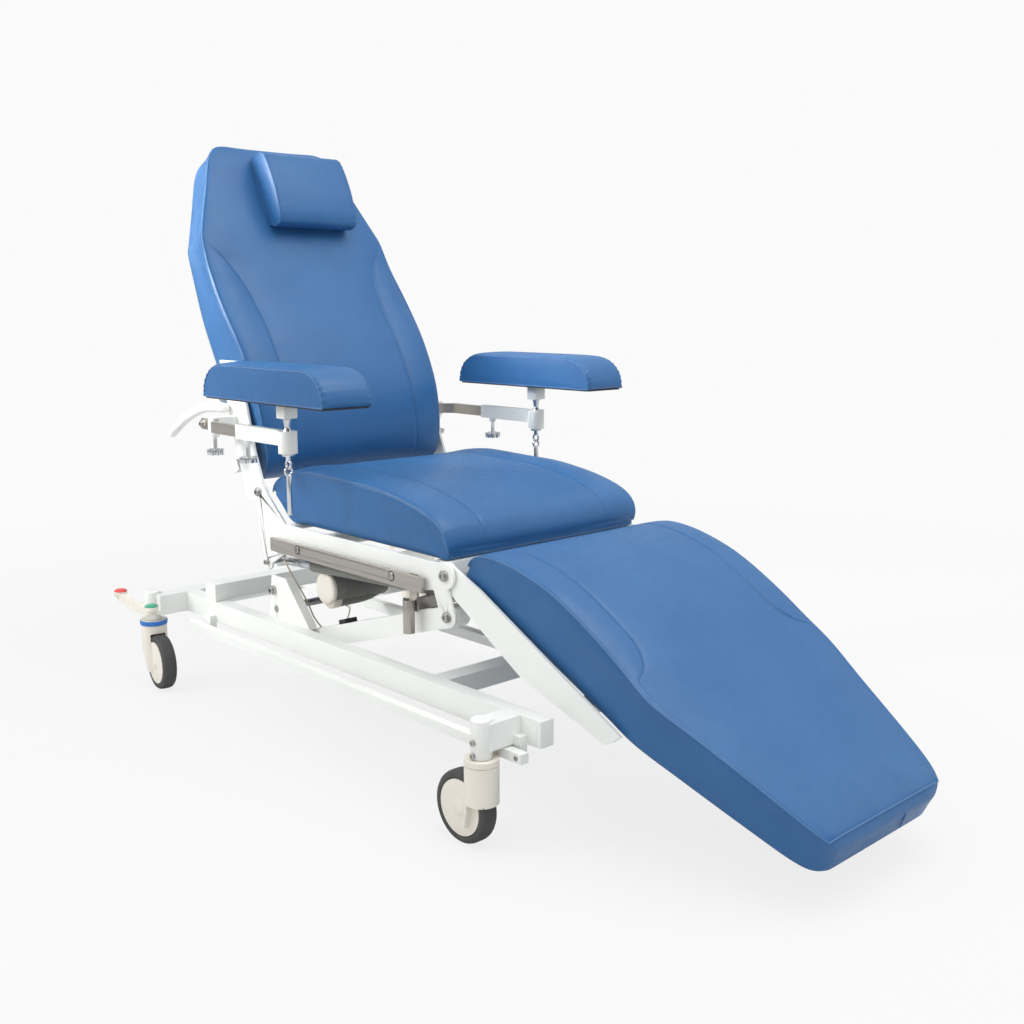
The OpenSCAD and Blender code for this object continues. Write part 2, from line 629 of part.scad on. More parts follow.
module back_plates() color(paint) on_chair() both_sides() difference() {
    slab(-side_plate_x - plate_t, plate_t) {
        polygon([[plate_top[0] + back_plate_w / 2, plate_top[1]],
            [plate_top[0] - back_plate_w / 2, plate_top[1]],
            mix(hinge, [plate_top[0] - back_plate_w / 2, plate_top[1]], 0.64) + [-8, 0],
            mix(hinge, [plate_top[0] - back_plate_w / 2, plate_top[1]], 0.3) + [-3, 0],
            hinge + [-4, back_plate_foot - 6], hinge + [-4, 6 - back_plate_foot],
                hinge + [back_plate_w - 8, -back_plate_foot],
            mix(hinge, [plate_top[0] + back_plate_w / 2, plate_top[1]], 0.3) + [54, 0]]);
        translate(hinge) circle(lobe_r + gap);
        translate(hinge + [back_plate_w - 16, 0]) circle(back_plate_foot);
    }
    rod_x(hinge, -side_plate_x - plate_t - cut, plate_t + 2 * cut, pin_r + running);
}
// Square tubes behind the cushion join the back plates; a lever on the lower one meets the back rod
back_member_u = [38, 185];
back_lever = hinge + [40, -80];
lever_knee = [26, 40];
back_lug_x = back_rod_x - leg_tube_r - gap - lug_t;
module back_cross_tubes() color(paint) on_chair() {
    for (u = back_member_u) slab(-side_plate_x - plate_t, 2 * (side_plate_x + plate_t))
        polygon([on_back(u, -soft_gap),
        on_back(u + member, -soft_gap), on_back(u + member, -soft_gap - member),
            on_back(u, -soft_gap - member)]);
    for (u = back_member_u) both_sides() slab(-side_plate_x, plate_t) polygon([on_back(u, -soft_gap),
        on_back(u + member, -soft_gap), on_back(u + member, -soft_gap - member),
            on_back(u, -soft_gap - member)]);
    difference() {
        slab(back_lug_x, lug_t) {
            link(on_back(back_member_u[0] + member / 2, -soft_gap - member / 2), back_lever + lever_knee,
                member / 2 - gap);
            link(back_lever + lever_knee, back_lever, member / 2);
        }
        rod_x(back_lever, back_lug_x - cut, lug_t + 2 * cut, pin_r - gap);
    }
}
// Sweeps a round tube through points, with a ring square to the path at each point
function dir_at(p, i) = unit(p[min(i + 1, len(p) - 1)] - p[max(i - 1, 0)]);
function side_of(d) = unit(cross(d, abs(d[0]) < 0.7 ? [1, 0, 0] : [0, 0, 1]));
module tube_along(p, r, n) {
    m = len(p);
    pts = [for (i = [0:m - 1]) let (d = dir_at(p, i), a = side_of(d), b = cross(d, a))
        for (k = [0:n - 1]) p[i] + r * (cos(360 * k / n) * a + sin(360 * k / n) * b)];
    faces = [for (i = [0:m - 2]) for (k = [0:n - 1]) each [
        [i * n + k, (i + 1) * n + k, i * n + (k + 1) % n],
        [i * n + (k + 1) % n, (i + 1) * n + k, (i + 1) * n + (k + 1) % n]]];
    polyhedron(concat(pts, [p[0], p[m - 1]]), concat(faces,
        [for (k = [0:n - 1]) [m * n, k, (k + 1) % n]],
        [for (k = [0:n - 1]) [m * n + 1, (m - 1) * n + (k + 1) % n, (m - 1) * n + k]]));
}
// A smooth curve through points: each gap is filled with a number of steps
function spline(p, i, t) = let (a = p[max(i - 1, 0)], b = p[i], c = p[i + 1], d = p[min(i + 2, len(p) - 1)])
    0.5 * (2 * b + (c - a) * t + (2 * a - 5 * b + 4 * c - d) * t * t + (3 * b - a - 3 * c + d) * t * t * t);
function smooth(p, steps) = concat([for (i = [0:len(p) - 2]) for (k = [0:steps - 1]) spline(p, i, k / steps)],
    [p[len(p) - 1]]);
handle_r = 11;
handle_x = side_plate_x + plate_t + handle_r;
handle_run = [0, 38, 83, 121, 168, 213, 250];
handle_drop = [0, 0, -4, -13, -30, -52, -74];
handle_root = [262, 642];
module push_handles() color(paint) on_chair() both_sides()
    tube_along(smooth([for (i = [0:len(handle_run) - 1])
    [-handle_x, handle_root[0] + handle_run[i], handle_root[1] + handle_drop[i]]], 2), handle_r, 16);
pillow_u = 577;
pillow_x = 32;
pillow_tilt = 6;
pillow_shares = [[0, 0.66, 0.52, 0.93], [0.02, 0.8, 0.3, 0.96], [0.12, 0.93, 0, 0.985], [0.3, 1, 0, 1],
    [0.45, 1.02, 0, 1], [0.7, 0.96, 0, 1], [0.87, 0.84, 0, 0.985], [0.94, 0.68, 0, 0.96],
        [0.985, 0.4, 0.02, 0.92],
    [1, 0.2, 0.06, 0.88]];
pillow_share = 0.98;
pillow_back = pillow_share * back_thick;
function pillow_stations() = [for (s = pillow_shares) concat(
    on_back(pillow_u + s[0] * pillow_h, pillow_back + s[1] * pillow_thick + s[0] * 2 * pillow_tilt),
    on_back(pillow_u + s[0] * pillow_h, pillow_back + s[2] * pillow_thick + s[0] * pillow_tilt),
        [s[3] * pillow_len / 2])];
module head_pillow() color(vinyl) on_chair() translate([pillow_x, 0, 0])
    soft_form(pillow_stations(), pad_shares);

// Armrests
bar_t = 9;
bar_h = 24;
bar_z = 597;
bar_in_x = 312;
bar_rear = 288;
bar_bend = 225;
tube_w = 16;
tube_rear = 90;
tube_z = bar_z + bar_h / 2 - tube_h / 2;
bar_front = -30;
guide_wall = 5;
guide_len = 22;
boss_h = 14;
rear_knob_y = bar_bend + 13;
rear_knob_z = 544;
front_knob_y = 55;
front_knob_z = 547;
module slide_bar(side) color(steel) on_chair() on_side(side) {
    jog = post_x - bar_in_x;
    translate([0, 0, bar_z]) linear_extrude(bar_h)
        polygon([[-bar_in_x - bar_t / 2, bar_rear], [-bar_in_x + bar_t / 2, bar_rear],
            [-bar_in_x + bar_t / 2, bar_bend], [-post_x + bar_t / 2, bar_bend - jog],
                [-post_x + bar_t / 2, bar_front],
            [-post_x - bar_t / 2, bar_front], [-post_x - bar_t / 2, bar_bend - jog],
                [-bar_in_x - bar_t / 2, bar_bend]]);
    rod_x([bar_rear - bolt_r, bar_z + bar_h / 2], -bar_in_x - bar_t / 2 - bolt_h, bolt_h, bolt_r - gap);
}
// Guides on the back plates, closed round the rear stretch of the slide bars
guide_screw_r = 4;
module arm_guides() color(paint) on_chair() both_sides() difference() {
    union() {
        box([-bar_in_x - bar_t / 2 - guide_wall, bar_bend + cut, bar_z - guide_wall],
            [-side_plate_x - plate_t, bar_bend + cut + guide_len, bar_z + bar_h + guide_wall]);
        translate([-bar_in_x, rear_knob_y, bar_z - boss_h]) cylinder(h = boss_h - gap, r = bolt_r);
    }
    box([-bar_in_x - bar_t / 2 - sliding, bar_bend - cut, bar_z - sliding],
        [-bar_in_x + bar_t / 2 + sliding, bar_bend + guide_len + 2 * cut, bar_z + bar_h + sliding]);
    translate([-bar_in_x, rear_knob_y, bar_z - boss_h - cut])
        cylinder(h = boss_h + 2 * cut, r = guide_screw_r + running);
}
clamp_z = 580;
clamp_h = 44;
post_r2 = 8;
tube_front = -post_front + clamp_d / 2 - cut;
module arm_tube(side) color(paint) on_chair() on_side(side) difference() {
    union() {
        box([-post_x - tube_w / 2, tube_front, tube_z], [-post_x + tube_w / 2, tube_rear, tube_z + tube_h]);
        translate([-post_x, -post_front, clamp_z]) cylinder(h = clamp_h, d = clamp_d);
        translate([-post_x, front_knob_y, tube_z - lug_t]) cylinder(h = lug_t + gap, r = tube_w / 2);
    }
    box([-post_x - bar_t / 2 - sliding, -post_front + clamp_d / 2 + cut, bar_z - sliding],
        [-post_x + bar_t / 2 + sliding, tube_rear + cut, bar_z + bar_h + sliding]);
    translate([-post_x, -post_front, clamp_z - cut]) cylinder(h = clamp_h + 2 * cut, r = post_r2 + running);
    translate([-post_x, front_knob_y, tube_z - lug_t - cut])
        cylinder(h = lug_t + cut + bar_z - tube_z, r = guide_screw_r + running);
}
block = [32, 31];
block_z = 649;
module arm_post(side) color(chrome) on_chair() on_side(side) translate([-post_x, -post_front, 0]) {
    translate([0, 0, clamp_z + 2 * gap]) cylinder(h = clamp_h, r = post_r2);
    translate([0, 0, clamp_z + clamp_h + gap / 2])
        cylinder(h = block_z - clamp_z - clamp_h - gap / 2, r1 = post_r2 - cut, r2 = post_r2);
    translate([0, 0, clamp_z + clamp_h - gap]) cylinder(h = cut, r = post_r2 - cut);
    box([-block[0] / 2, -block[1] / 2, block_z], [block[0] / 2, block[1] / 2, pad_z - soft_gap]);
}
arm_pad_front = -314;
arm_pad_shares = [[0, 0.14, 0, 0.95], [0.005, 0.34, 0, 0.97], [0.025, 0.6, 0, 0.985], [0.06, 0.8, 0, 1],
    [0.11, 0.94, 0, 1], [0.17, 0.99, 0, 1], [0.5, 1, 0, 1], [0.83, 0.99, 0, 1], [0.89, 0.94, 0, 1],
    [0.94, 0.8, 0, 1], [0.975, 0.6, 0, 0.985], [0.995, 0.34, 0, 0.97], [1, 0.14, 0, 0.95]];
module arm_pad(side) color(vinyl) on_chair() on_side(side) translate([-pad_x, 0, 0])
    soft_form([for (s = arm_pad_shares) [arm_pad_front + s[0] * pad_len, pad_z + s[1] * pad_h,
        arm_pad_front + s[0] * pad_len, pad_z + s[2] * pad_h, s[3] * pad_w / 2]], pad_shares);
ring_r = 8;
ring_t = 2.6;
lever_r = 5;
lever_low = 457;
lever_top = 530;
module torus() rotate_extrude() translate([ring_r, 0]) circle(ring_t);
module clamp_lever(side) color(chrome) on_chair() on_side(side) translate([-post_x, -post_front, 0]) {
    stem_low = clamp_z - 3 * lever_r;
    translate([0, 0, stem_low]) cylinder(h = clamp_z - stem_low - running, r = lever_r);
    translate([0, 0, clamp_z - lever_r - running]) cylinder(h = lever_r, r = 2 * lever_r + cut);
    translate([0, 0, stem_low - ring_r + gap]) rotate([0, 90, 0]) torus();
    translate([0, 0, stem_low - 2.6 * ring_r]) rotate([90, 0, 0]) torus();
    translate([0, 0, lever_low]) cylinder(h = stem_low - 3.5 * ring_r - lever_low, r = lever_r);
}
// Star knobs clamp the slide bar in its guide and the arm tube on the bar
lobes = 7;
lobe_round = 5;
knob_h = 12;
module star_knob(side, x, y, z, screw) color(chrome) on_chair() on_side(side) translate([-x, y, z]) {
    cylinder(h = knob_h, r = knob_d / 2 - lobe_round);
    for (i = [0:lobes - 1]) rotate(360 * i / lobes) translate([knob_d / 2 - lobe_round, 0, 0])
        cylinder(h = knob_h, r = lobe_round);
    translate([0, 0, knob_h - cut]) cylinder(h = screw - knob_h + cut, r = guide_screw_r);
}

module rear_knob(side) star_knob(side, bar_in_x, rear_knob_y, rear_knob_z, bar_z - rear_knob_z - sliding);
module front_knob(side) star_knob(side, post_x, front_knob_y, front_knob_z, bar_z - front_knob_z - sliding);

// Leg rest, modelled along its slope: u runs down the underside, v up from it
leg_tilt = 26;
leg_root = [-509, 384];
leg_dir = [-cos(leg_tilt), -sin(leg_tilt)];
leg_up = [-sin(leg_tilt), cos(leg_tilt)];
function on_leg(u, v) = leg_root + u * leg_dir + v * leg_up;
leg_shares = [[0.002, 0.3, 0.1, 0.97], [0.006, 0.44, 0.03, 0.985], [0.03, 0.64, 0, 1], [0.08, 0.86, 0, 1],
    [0.16, 1.08, 0, 1], [0.27, 1.24, 0, 1], [0.4, 1.2, 0, 1], [0.5, 1.08, 0, 1], [0.587, 0.98, 0, 1],
    [0.7, 0.9, 0, 0.9], [0.85, 0.8, 0, 0.78], [0.94, 0.72, 0, 0.7], [0.98, 0.66, 0.02, 0.63],
        [1, 0.5, 0.1, 0.54]];
module leg_cushion() color(vinyl) on_chair() soft_form([for (s = leg_shares) concat(
    on_leg(s[0] * leg_len, s[1] * leg_thick), on_leg(s[0] * leg_len, s[2] * leg_thick), [s[3] * leg_half])],
    section_shares);
leg_member_u = [44, 330];
leg_lever = knee + [-25, -35];
leg_rod_x = 236;
leg_lug_x = -leg_rod_x - leg_tube_r - gap - lug_t;
module leg_frame() color(paint) on_chair() {
    both_sides() difference() {
        slab(-side_plate_x - plate_t, plate_t) {
            polygon([knee + [0, knee_r - gap], [-575, 378], [-908, 202], [-890, 188], [-874, 180],
                [-678, 247], knee + [8, gap - knee_r]]);
            translate(knee) circle(knee_r - gap);
        }
        rod_x(knee, -side_plate_x - plate_t - cut, plate_t + 2 * cut, pin_r + running);
    }
    for (u = leg_member_u) slab(-side_plate_x, 2 * side_plate_x) polygon([on_leg(u, -soft_gap),
        on_leg(u + member, -soft_gap), on_leg(u + member, -soft_gap - member),
            on_leg(u, -soft_gap - member)]);
    difference() {
        slab(leg_lug_x, lug_t)
            link(on_leg(leg_member_u[0] + member / 2, -soft_gap - member / 2), leg_lever, eye_r - gap);
        rod_x(leg_lever, leg_lug_x - cut, lug_t + 2 * cut, pin_r - gap);
    }
}
// The leg rod is hinged on the seat plate's rear lobe and slides in the motor's tube
leg_run = unit(leg_lever - seat_lobe);
leg_tube_rear = seat_lobe + leg_run * 131;
leg_rod_in = 200;
leg_motor_at = [-60, 283];
leg_motor_r = 33;
leg_motor_w = 140;
module leg_motor() color(ivory) on_chair() difference() {
    union() {
        pipe_yz(-leg_rod_x, leg_tube_rear, leg_lever - leg_run * pin_r, leg_tube_r);
        slab(-leg_rod_x - eye_t / 2, eye_t) translate(leg_lever) circle(eye_r - gap);
        rod_x(leg_motor_at, -leg_rod_x, leg_motor_w, leg_motor_r);
        slab(-leg_rod_x, leg_motor_w / 2)
            link(leg_motor_at, leg_motor_at + [0, leg_motor_r + leg_tube_r], leg_tube_r);
    }
    pipe_yz(-leg_rod_x, seat_lobe, seat_lobe + leg_run * (leg_rod_in + 131), rod_r + sliding);
    rod_x(leg_lever, -leg_rod_x - eye_t / 2 - cut, eye_t + 2 * cut, pin_r - cut + running);
}
module leg_rod() color(chrome) on_chair() difference() {
    union() {
        pipe_yz(-leg_rod_x, seat_lobe, seat_lobe + leg_run * (leg_rod_in + 80), rod_r);
        slab(-leg_rod_x - eye_t / 2, eye_t) translate(seat_lobe) circle(eye_r);
    }
    rod_x(seat_lobe, -leg_rod_x - eye_t / 2 - cut, eye_t + 2 * cut, pin_r - cut + running);
}
// The back motor's tube is hinged under the front of the seat and its rod meets the back's lever
back_run = unit(back_lever - back_anchor);
back_tube_end = back_lever - back_run * 130;
module back_motor() color(ivory) on_chair() difference() {
    union() {
        pipe_yz(back_rod_x, back_anchor, back_tube_end, leg_tube_r);
        slab(back_rod_x - eye_t / 2, eye_t) translate(back_anchor) circle(eye_r);
        rod_x(back_anchor + back_run * 3 * motor_r, back_rod_x, 3 * motor_r, motor_r);
    }
    pipe_yz(back_rod_x, back_lever - back_run * (130 + leg_rod_in), back_lever, rod_r + sliding);
    rod_x(back_anchor, back_rod_x - leg_tube_r - cut, 2 * (leg_tube_r + cut), pin_r - cut + running);
}
module back_rod() color(chrome) on_chair() {
    pipe_yz(back_rod_x, back_lever - back_run * (130 + leg_rod_in - 100), back_lever, rod_r);
    slab(back_rod_x - eye_t / 2, eye_t) translate(back_lever) circle(member / 2);
}
// The motor cable hangs in a loop below the leg motor
cable_r = 1.6;
cable_points = [[-261.4, 60, 342], [-259, 56, 326], [-250, 48, 300], [-238, 36, 268], [-229, 20, 236],
    [-226, 0, 206], [-225, -36, 186], [-225, -70, 183], [-225, -95, 192], [-226, -112, 210],
        [-226, -122, 230],
    [-222, -124, 243], [-213, -112, 249], [-205, -90, 247], [-200, -67, 248]];
module motor_cable() color(ivory) on_chair() tube_along(smooth(cable_points, 6), cable_r, 8);

base_rail("right");  // base_rail_right
base_rail("left");  // base_rail_left
base_rear_tube();
base_front_tube();
base_spine();
base_rear_beam();
frame_end_caps();
base_fasteners();
lift_towers();
foot_bar("right");  // foot_bar_right
foot_bar("left");  // foot_bar_left
castor_fork(-socket_x, -socket_front, front_turn);  // castor_fork_front_right
castor_fork(socket_x, -socket_front, -front_turn);  // castor_fork_front_left
castor_fork(-socket_x, socket_rear, rear_turn);  // castor_fork_rear_right
castor_fork(socket_x, socket_rear, -rear_turn);  // castor_fork_rear_left
castor_wheel(-socket_x, -socket_front, front_turn);  // castor_wheel_front_right
castor_wheel(socket_x, -socket_front, -front_turn);  // castor_wheel_front_left
castor_wheel(-socket_x, socket_rear, rear_turn);  // castor_wheel_rear_right
castor_wheel(socket_x, socket_rear, -rear_turn);  // castor_wheel_rear_left
brake_pedal("right");  // brake_pedal_right
brake_pedal("left");  // brake_pedal_left
lift_arms();
lift_cross_tube();
bump_stops();
lift_upper_arm();
lift_motor();
lift_rod();
seat_plates();
seat_cross_tubes();
accessory_rails();
seat_fasteners();
pole_socket();
seat_cushion();
back_plates();
back_cross_tubes();
back_cushion();
push_handles();
head_pillow();
arm_guides();
slide_bar("right");  // slide_bar_right
slide_bar("left");  // slide_bar_left
arm_tube("right");  // arm_tube_right
arm_tube("left");  // arm_tube_left
arm_post("right");  // arm_post_right
arm_post("left");  // arm_post_left
arm_pad("right");  // arm_pad_right
arm_pad("left");  // arm_pad_left
clamp_lever("right");  // clamp_lever_right
clamp_lever("left");  // clamp_lever_left
rear_knob("right");  // rear_knob_right
rear_knob("left");  // rear_knob_left
front_knob("right");  // front_knob_right
front_knob("left");  // front_knob_left
back_motor();
back_rod();
leg_frame();
leg_cushion();
leg_motor();
leg_rod();
motor_cable();
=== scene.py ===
# %% [markdown]
# # Dressing a phlebotomy chair
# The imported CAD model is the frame: every rail, plate, castor and hinge sits where it must. This lesson
# dresses it. Cushions are built as sewn covers over foam, the metal gets its finishes, and small fittings
# such as screw sockets, brake rings and stitches are added. The occupant faces -Y, +X is the occupant's
# left and the floor is Z = 0. All sizes are metres.

import json
import math

import bmesh
import bpy
import numpy as np
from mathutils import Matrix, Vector


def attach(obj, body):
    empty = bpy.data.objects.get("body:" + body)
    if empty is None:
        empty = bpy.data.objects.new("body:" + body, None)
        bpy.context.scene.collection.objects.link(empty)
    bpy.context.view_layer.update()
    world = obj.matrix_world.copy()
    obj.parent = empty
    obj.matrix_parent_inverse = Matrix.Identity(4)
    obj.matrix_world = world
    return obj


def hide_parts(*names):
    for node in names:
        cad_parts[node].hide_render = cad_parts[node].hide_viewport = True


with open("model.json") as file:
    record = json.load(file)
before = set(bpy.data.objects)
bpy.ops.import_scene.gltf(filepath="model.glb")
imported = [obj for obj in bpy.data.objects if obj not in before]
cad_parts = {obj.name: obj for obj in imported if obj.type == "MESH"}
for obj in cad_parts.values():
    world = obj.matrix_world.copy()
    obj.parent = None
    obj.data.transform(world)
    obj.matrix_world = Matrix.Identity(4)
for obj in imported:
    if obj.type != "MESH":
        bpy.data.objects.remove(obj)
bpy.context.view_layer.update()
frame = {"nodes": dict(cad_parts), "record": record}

# %% [markdown]
# ## Where things are
# The part is drawn in millimetres about the rear lift pivot, which lies `CHAIR_Y` behind the middle of the
# model, and its heights start `CHAIR_Z` above the floor. A helper turns such a point into the frame.

# %% Helpers for places
CHAIR_Y = 329
CHAIR_Z = 12
MM = 0.001


def at(x, y, z):
    """A point given in millimetres on the chair's own datum, in the frame's metres."""
    return np.array([x, y + CHAIR_Y, z + CHAIR_Z]) * MM


def at_all(ring):
    """A ring of such points, as an array."""
    return (np.asarray(ring) + [0, CHAIR_Y, CHAIR_Z]) * MM


SIDES = (("right", -1), ("left", 1))
CASTOR_FRONT_Y, CASTOR_REAR_Y = -714, 443
print("lift pivot at", at(0, 0, 163))

# %% [markdown]
# ## The camera
# It stands at the occupant's front right, a little above seat height, looking slightly down, as the
# photographer did.

# %% Camera
camera_data = bpy.data.cameras.new("studio_camera")
camera_data.lens = 40.85
camera_data.sensor_width = 36
camera_data.shift_x = -0.0054
camera = bpy.data.objects.new("studio_camera", camera_data)
camera.location = at(-1557.4, -2054.7, 868.7)
camera.rotation_euler = (math.radians(79.84), 0, math.radians(-43.16))
bpy.context.collection.objects.link(camera)
bpy.context.scene.camera = camera
print("camera", tuple(camera.location))

# %% [markdown]
# ## Floor, backdrop and light
# A clinic catalogue picture has a white ground. The floor is a pale sheet that keeps the chair's soft
# shadow and fades into the backdrop with distance, so no horizon shows. The world is near white where the
# camera sees it. As a light it is a soft sky, brighter overhead than at the horizon.

# %% World
PAPER_WHITE = 0.96
world = bpy.data.worlds.new("studio_world")
bpy.context.scene.world = world
world.use_nodes = True
world_tree = world.node_tree
world_tree.nodes.clear()

ambient = world_tree.nodes.new("ShaderNodeBackground")
ambient.inputs["Color"].default_value = (0.97, 0.985, 1.0, 1)
direction = world_tree.nodes.new("ShaderNodeSeparateXYZ")
height = world_tree.nodes.new("ShaderNodeMapRange")
height.interpolation_type = "SMOOTHSTEP"
SKY_RANGE = {"From Min": -0.1, "From Max": 0.95, "To Min": 0.38, "To Max": 0.98}
for key, number in SKY_RANGE.items():
    height.inputs[key].default_value = number
white = world_tree.nodes.new("ShaderNodeBackground")
white.inputs["Color"].default_value = (1, 1, 1, 1)
white.inputs["Strength"].default_value = PAPER_WHITE
choice = world_tree.nodes.new("ShaderNodeMixShader")
world_out = world_tree.nodes.new("ShaderNodeOutputWorld")
sky_coords = world_tree.nodes.new("ShaderNodeTexCoord")
world_tree.links.new(sky_coords.outputs["Generated"], direction.inputs[0])
world_tree.links.new(direction.outputs["Z"], height.inputs["Value"])
world_tree.links.new(height.outputs[0], ambient.inputs["Strength"])
sky_path = world_tree.nodes.new("ShaderNodeLightPath")
world_tree.links.new(sky_path.outputs["Is Camera Ray"], choice.inputs[0])
world_tree.links.new(ambient.outputs[0], choice.inputs[1])
world_tree.links.new(white.outputs[0], choice.inputs[2])
world_tree.links.new(choice.outputs[0], world_out.inputs["Surface"])
print("world", world.name)


# %% Floor
FLOOR_REACH = 14
FLOOR_DROP = 0.0005
FLOOR_FADE = {"From Min": 0.9, "From Max": 3.2, "To Min": 0.84, "To Max": 1.0}


def floor_material():
    """A matt sheet near the chair that turns into plain white further out, for the camera only."""
    mat = bpy.data.materials.new("pale_floor")
    mat.use_nodes = True
    tree = mat.node_tree
    tree.nodes.clear()
    matt = tree.nodes.new("ShaderNodeBsdfDiffuse")
    matt.inputs["Color"].default_value = (0.72, 0.72, 0.72, 1)
    glow = tree.nodes.new("ShaderNodeEmission")
    glow.inputs["Color"].default_value = (1, 1, 1, 1)
    glow.inputs["Strength"].default_value = PAPER_WHITE
    share = tree.nodes.new("ShaderNodeMath")
    share.operation = "MULTIPLY"
    far = tree.nodes.new("ShaderNodeVectorMath")
    far.operation = "LENGTH"
    fade = tree.nodes.new("ShaderNodeMapRange")
    fade.interpolation_type = "SMOOTHSTEP"
    for key, number in FLOOR_FADE.items():
        fade.inputs[key].default_value = number
    coords = tree.nodes.new("ShaderNodeTexCoord")
    tree.links.new(coords.outputs["Object"], far.inputs[0])
    tree.links.new(far.outputs["Value"], fade.inputs["Value"])
    tree.links.new(fade.outputs[0], share.inputs[1])
    mix = tree.nodes.new("ShaderNodeMixShader")
    out = tree.nodes.new("ShaderNodeOutputMaterial")
    path = tree.nodes.new("ShaderNodeLightPath")
    tree.links.new(path.outputs["Is Camera Ray"], share.inputs[0])
    tree.links.new(share.outputs[0], mix.inputs[0])
    tree.links.new(matt.outputs[0], mix.inputs[1])
    tree.links.new(glow.outputs[0], mix.inputs[2])
    tree.links.new(mix.outputs[0], out.inputs["Surface"])
    return mat


floor_mesh = bpy.data.meshes.new("floor")
floor_corners = [(x * FLOOR_REACH, y * FLOOR_REACH, 0) for x, y in ((-1, -1), (1, -1), (1, 1), (-1, 1))]
floor_mesh.from_pydata(floor_corners, [], [(0, 1, 2, 3)])
floor_mesh.materials.append(floor_material())
floor = bpy.data.objects.new("floor", floor_mesh)
bpy.context.collection.objects.link(floor)
floor.location.z = -FLOOR_DROP
print("floor", 2 * FLOOR_REACH, "m square")


# %% Lamps
def softbox(name, place, target, size, power):
    data = bpy.data.lights.new(name, "AREA")
    data.shape = "RECTANGLE"
    data.size, data.size_y = size
    data.energy = power
    lamp = bpy.data.objects.new(name, data)
    lamp.location = place
    aim = Vector(target) - Vector(place)
    lamp.rotation_euler = aim.to_track_quat("-Z", "Y").to_euler()
    bpy.context.collection.objects.link(lamp)
    return lamp


softbox("overhead_box", (0.3, -0.9, 2.9), (0, -0.1, 0.5), (2.4, 2.0), 44)
softbox("left_box", (-2.4, 0.9, 1.9), (-0.1, 0.4, 0.8), (1.2, 1.6), 19)
softbox("right_box", (2.2, -1.8, 1.6), (0, -0.3, 0.6), (1.4, 1.6), 6)
RIM_SPREAD = math.radians(36)
rim = softbox("rim_box", (-1.9, 2.0, 2.0), (-0.2, 0.85, 1.12), (0.8, 1.2), 7)
rim.data.spread = RIM_SPREAD
print("four soft boxes")

# %% [markdown]
# ## Finishes
# Each finish is a Principled shader with procedural grain. The pattern is taken from the object's own
# coordinates, so it stays on the piece at any pose. Blender's Voronoi and noise textures are enough for
# vinyl grain, the orange peel of powder coat and the fine lines of brushed steel.


# %% Finish helper
def srgb(r, g, b):
    """A colour picked from a picture, as Blender's linear values."""
    def lin(v):
        v /= 255
        return v / 12.92 if v <= 0.04045 else ((v + 0.055) / 1.055) ** 2.4
    return (lin(r), lin(g), lin(b), 1)


class Finish:
    """Builds one node material step by step."""

    def __init__(self, name):
        self.mat = bpy.data.materials.new(name)
        self.mat.use_nodes = True
        self.tree = self.mat.node_tree
        self.shader = self.tree.nodes["Principled BSDF"]
        self.coords = self.tree.nodes.new("ShaderNodeTexCoord").outputs["Object"]
        self.bump = None

    def set(self, **values):
        for key, value in values.items():
            self.shader.inputs[key.replace("_", " ")].default_value = value
        return self

    def stretched(self, scale):
        node = self.tree.nodes.new("ShaderNodeMapping")
        node.inputs["Scale"].default_value = scale
        self.tree.links.new(self.coords, node.inputs["Vector"])
        return node.outputs[0]

    def noise(self, scale, detail=4, rough=0.55, vector=None):
        node = self.tree.nodes.new("ShaderNodeTexNoise")
        node.inputs["Scale"].default_value = scale
        node.inputs["Detail"].default_value = detail
        node.inputs["Roughness"].default_value = rough
        self.tree.links.new(vector or self.coords, node.inputs["Vector"])
        return node.outputs["Fac"]

    def cells(self, scale):
        node = self.tree.nodes.new("ShaderNodeTexVoronoi")
        node.feature = "DISTANCE_TO_EDGE"
        node.inputs["Scale"].default_value = scale
        self.tree.links.new(self.coords, node.inputs["Vector"])
        return node.outputs["Distance"]

    def ramp(self, value, stops):
        node = self.tree.nodes.new("ShaderNodeValToRGB")
        ramp = node.color_ramp
        while len(ramp.elements) < len(stops):
            ramp.elements.new(0.5)
        for element, (pos, colour) in zip(ramp.elements, stops):
            element.position = pos
            element.color = colour
        self.tree.links.new(value, node.inputs["Fac"])
        return node.outputs["Color"]

    def spread(self, value, low, high, from_low=0.35, from_high=0.65):
        node = self.tree.nodes.new("ShaderNodeMapRange")
        limits = {"From Min": from_low, "From Max": from_high, "To Min": low, "To Max": high}
        for key, number in limits.items():
            node.inputs[key].default_value = number
        self.tree.links.new(value, node.inputs["Value"])
        return node.outputs[0]

    def colour(self, value, dark, light):
        mottled = self.ramp(value, [(0.3, dark), (0.7, light)])
        self.tree.links.new(mottled, self.shader.inputs["Base Color"])
        return self

    def roughness(self, value, low, high):
        varied = self.spread(value, low, high)
        self.tree.links.new(varied, self.shader.inputs["Roughness"])
        return self

    def relief(self, height, distance, strength=1.0):
        node = self.tree.nodes.new("ShaderNodeBump")
        node.inputs["Distance"].default_value = distance
        node.inputs["Strength"].default_value = strength
        self.tree.links.new(height, node.inputs["Height"])
        if self.bump:
            self.tree.links.new(self.bump, node.inputs["Normal"])
        self.bump = node.outputs["Normal"]
        self.tree.links.new(self.bump, self.shader.inputs["Normal"])
        return self


print("finish helper ready")


# %% [markdown]
# ### Vinyl
# Clinic upholstery is a smooth polyurethane-coated vinyl: satin, with a fine pebble grain of about a
# millimetre, and very slight mottling where it is stretched over the foam.


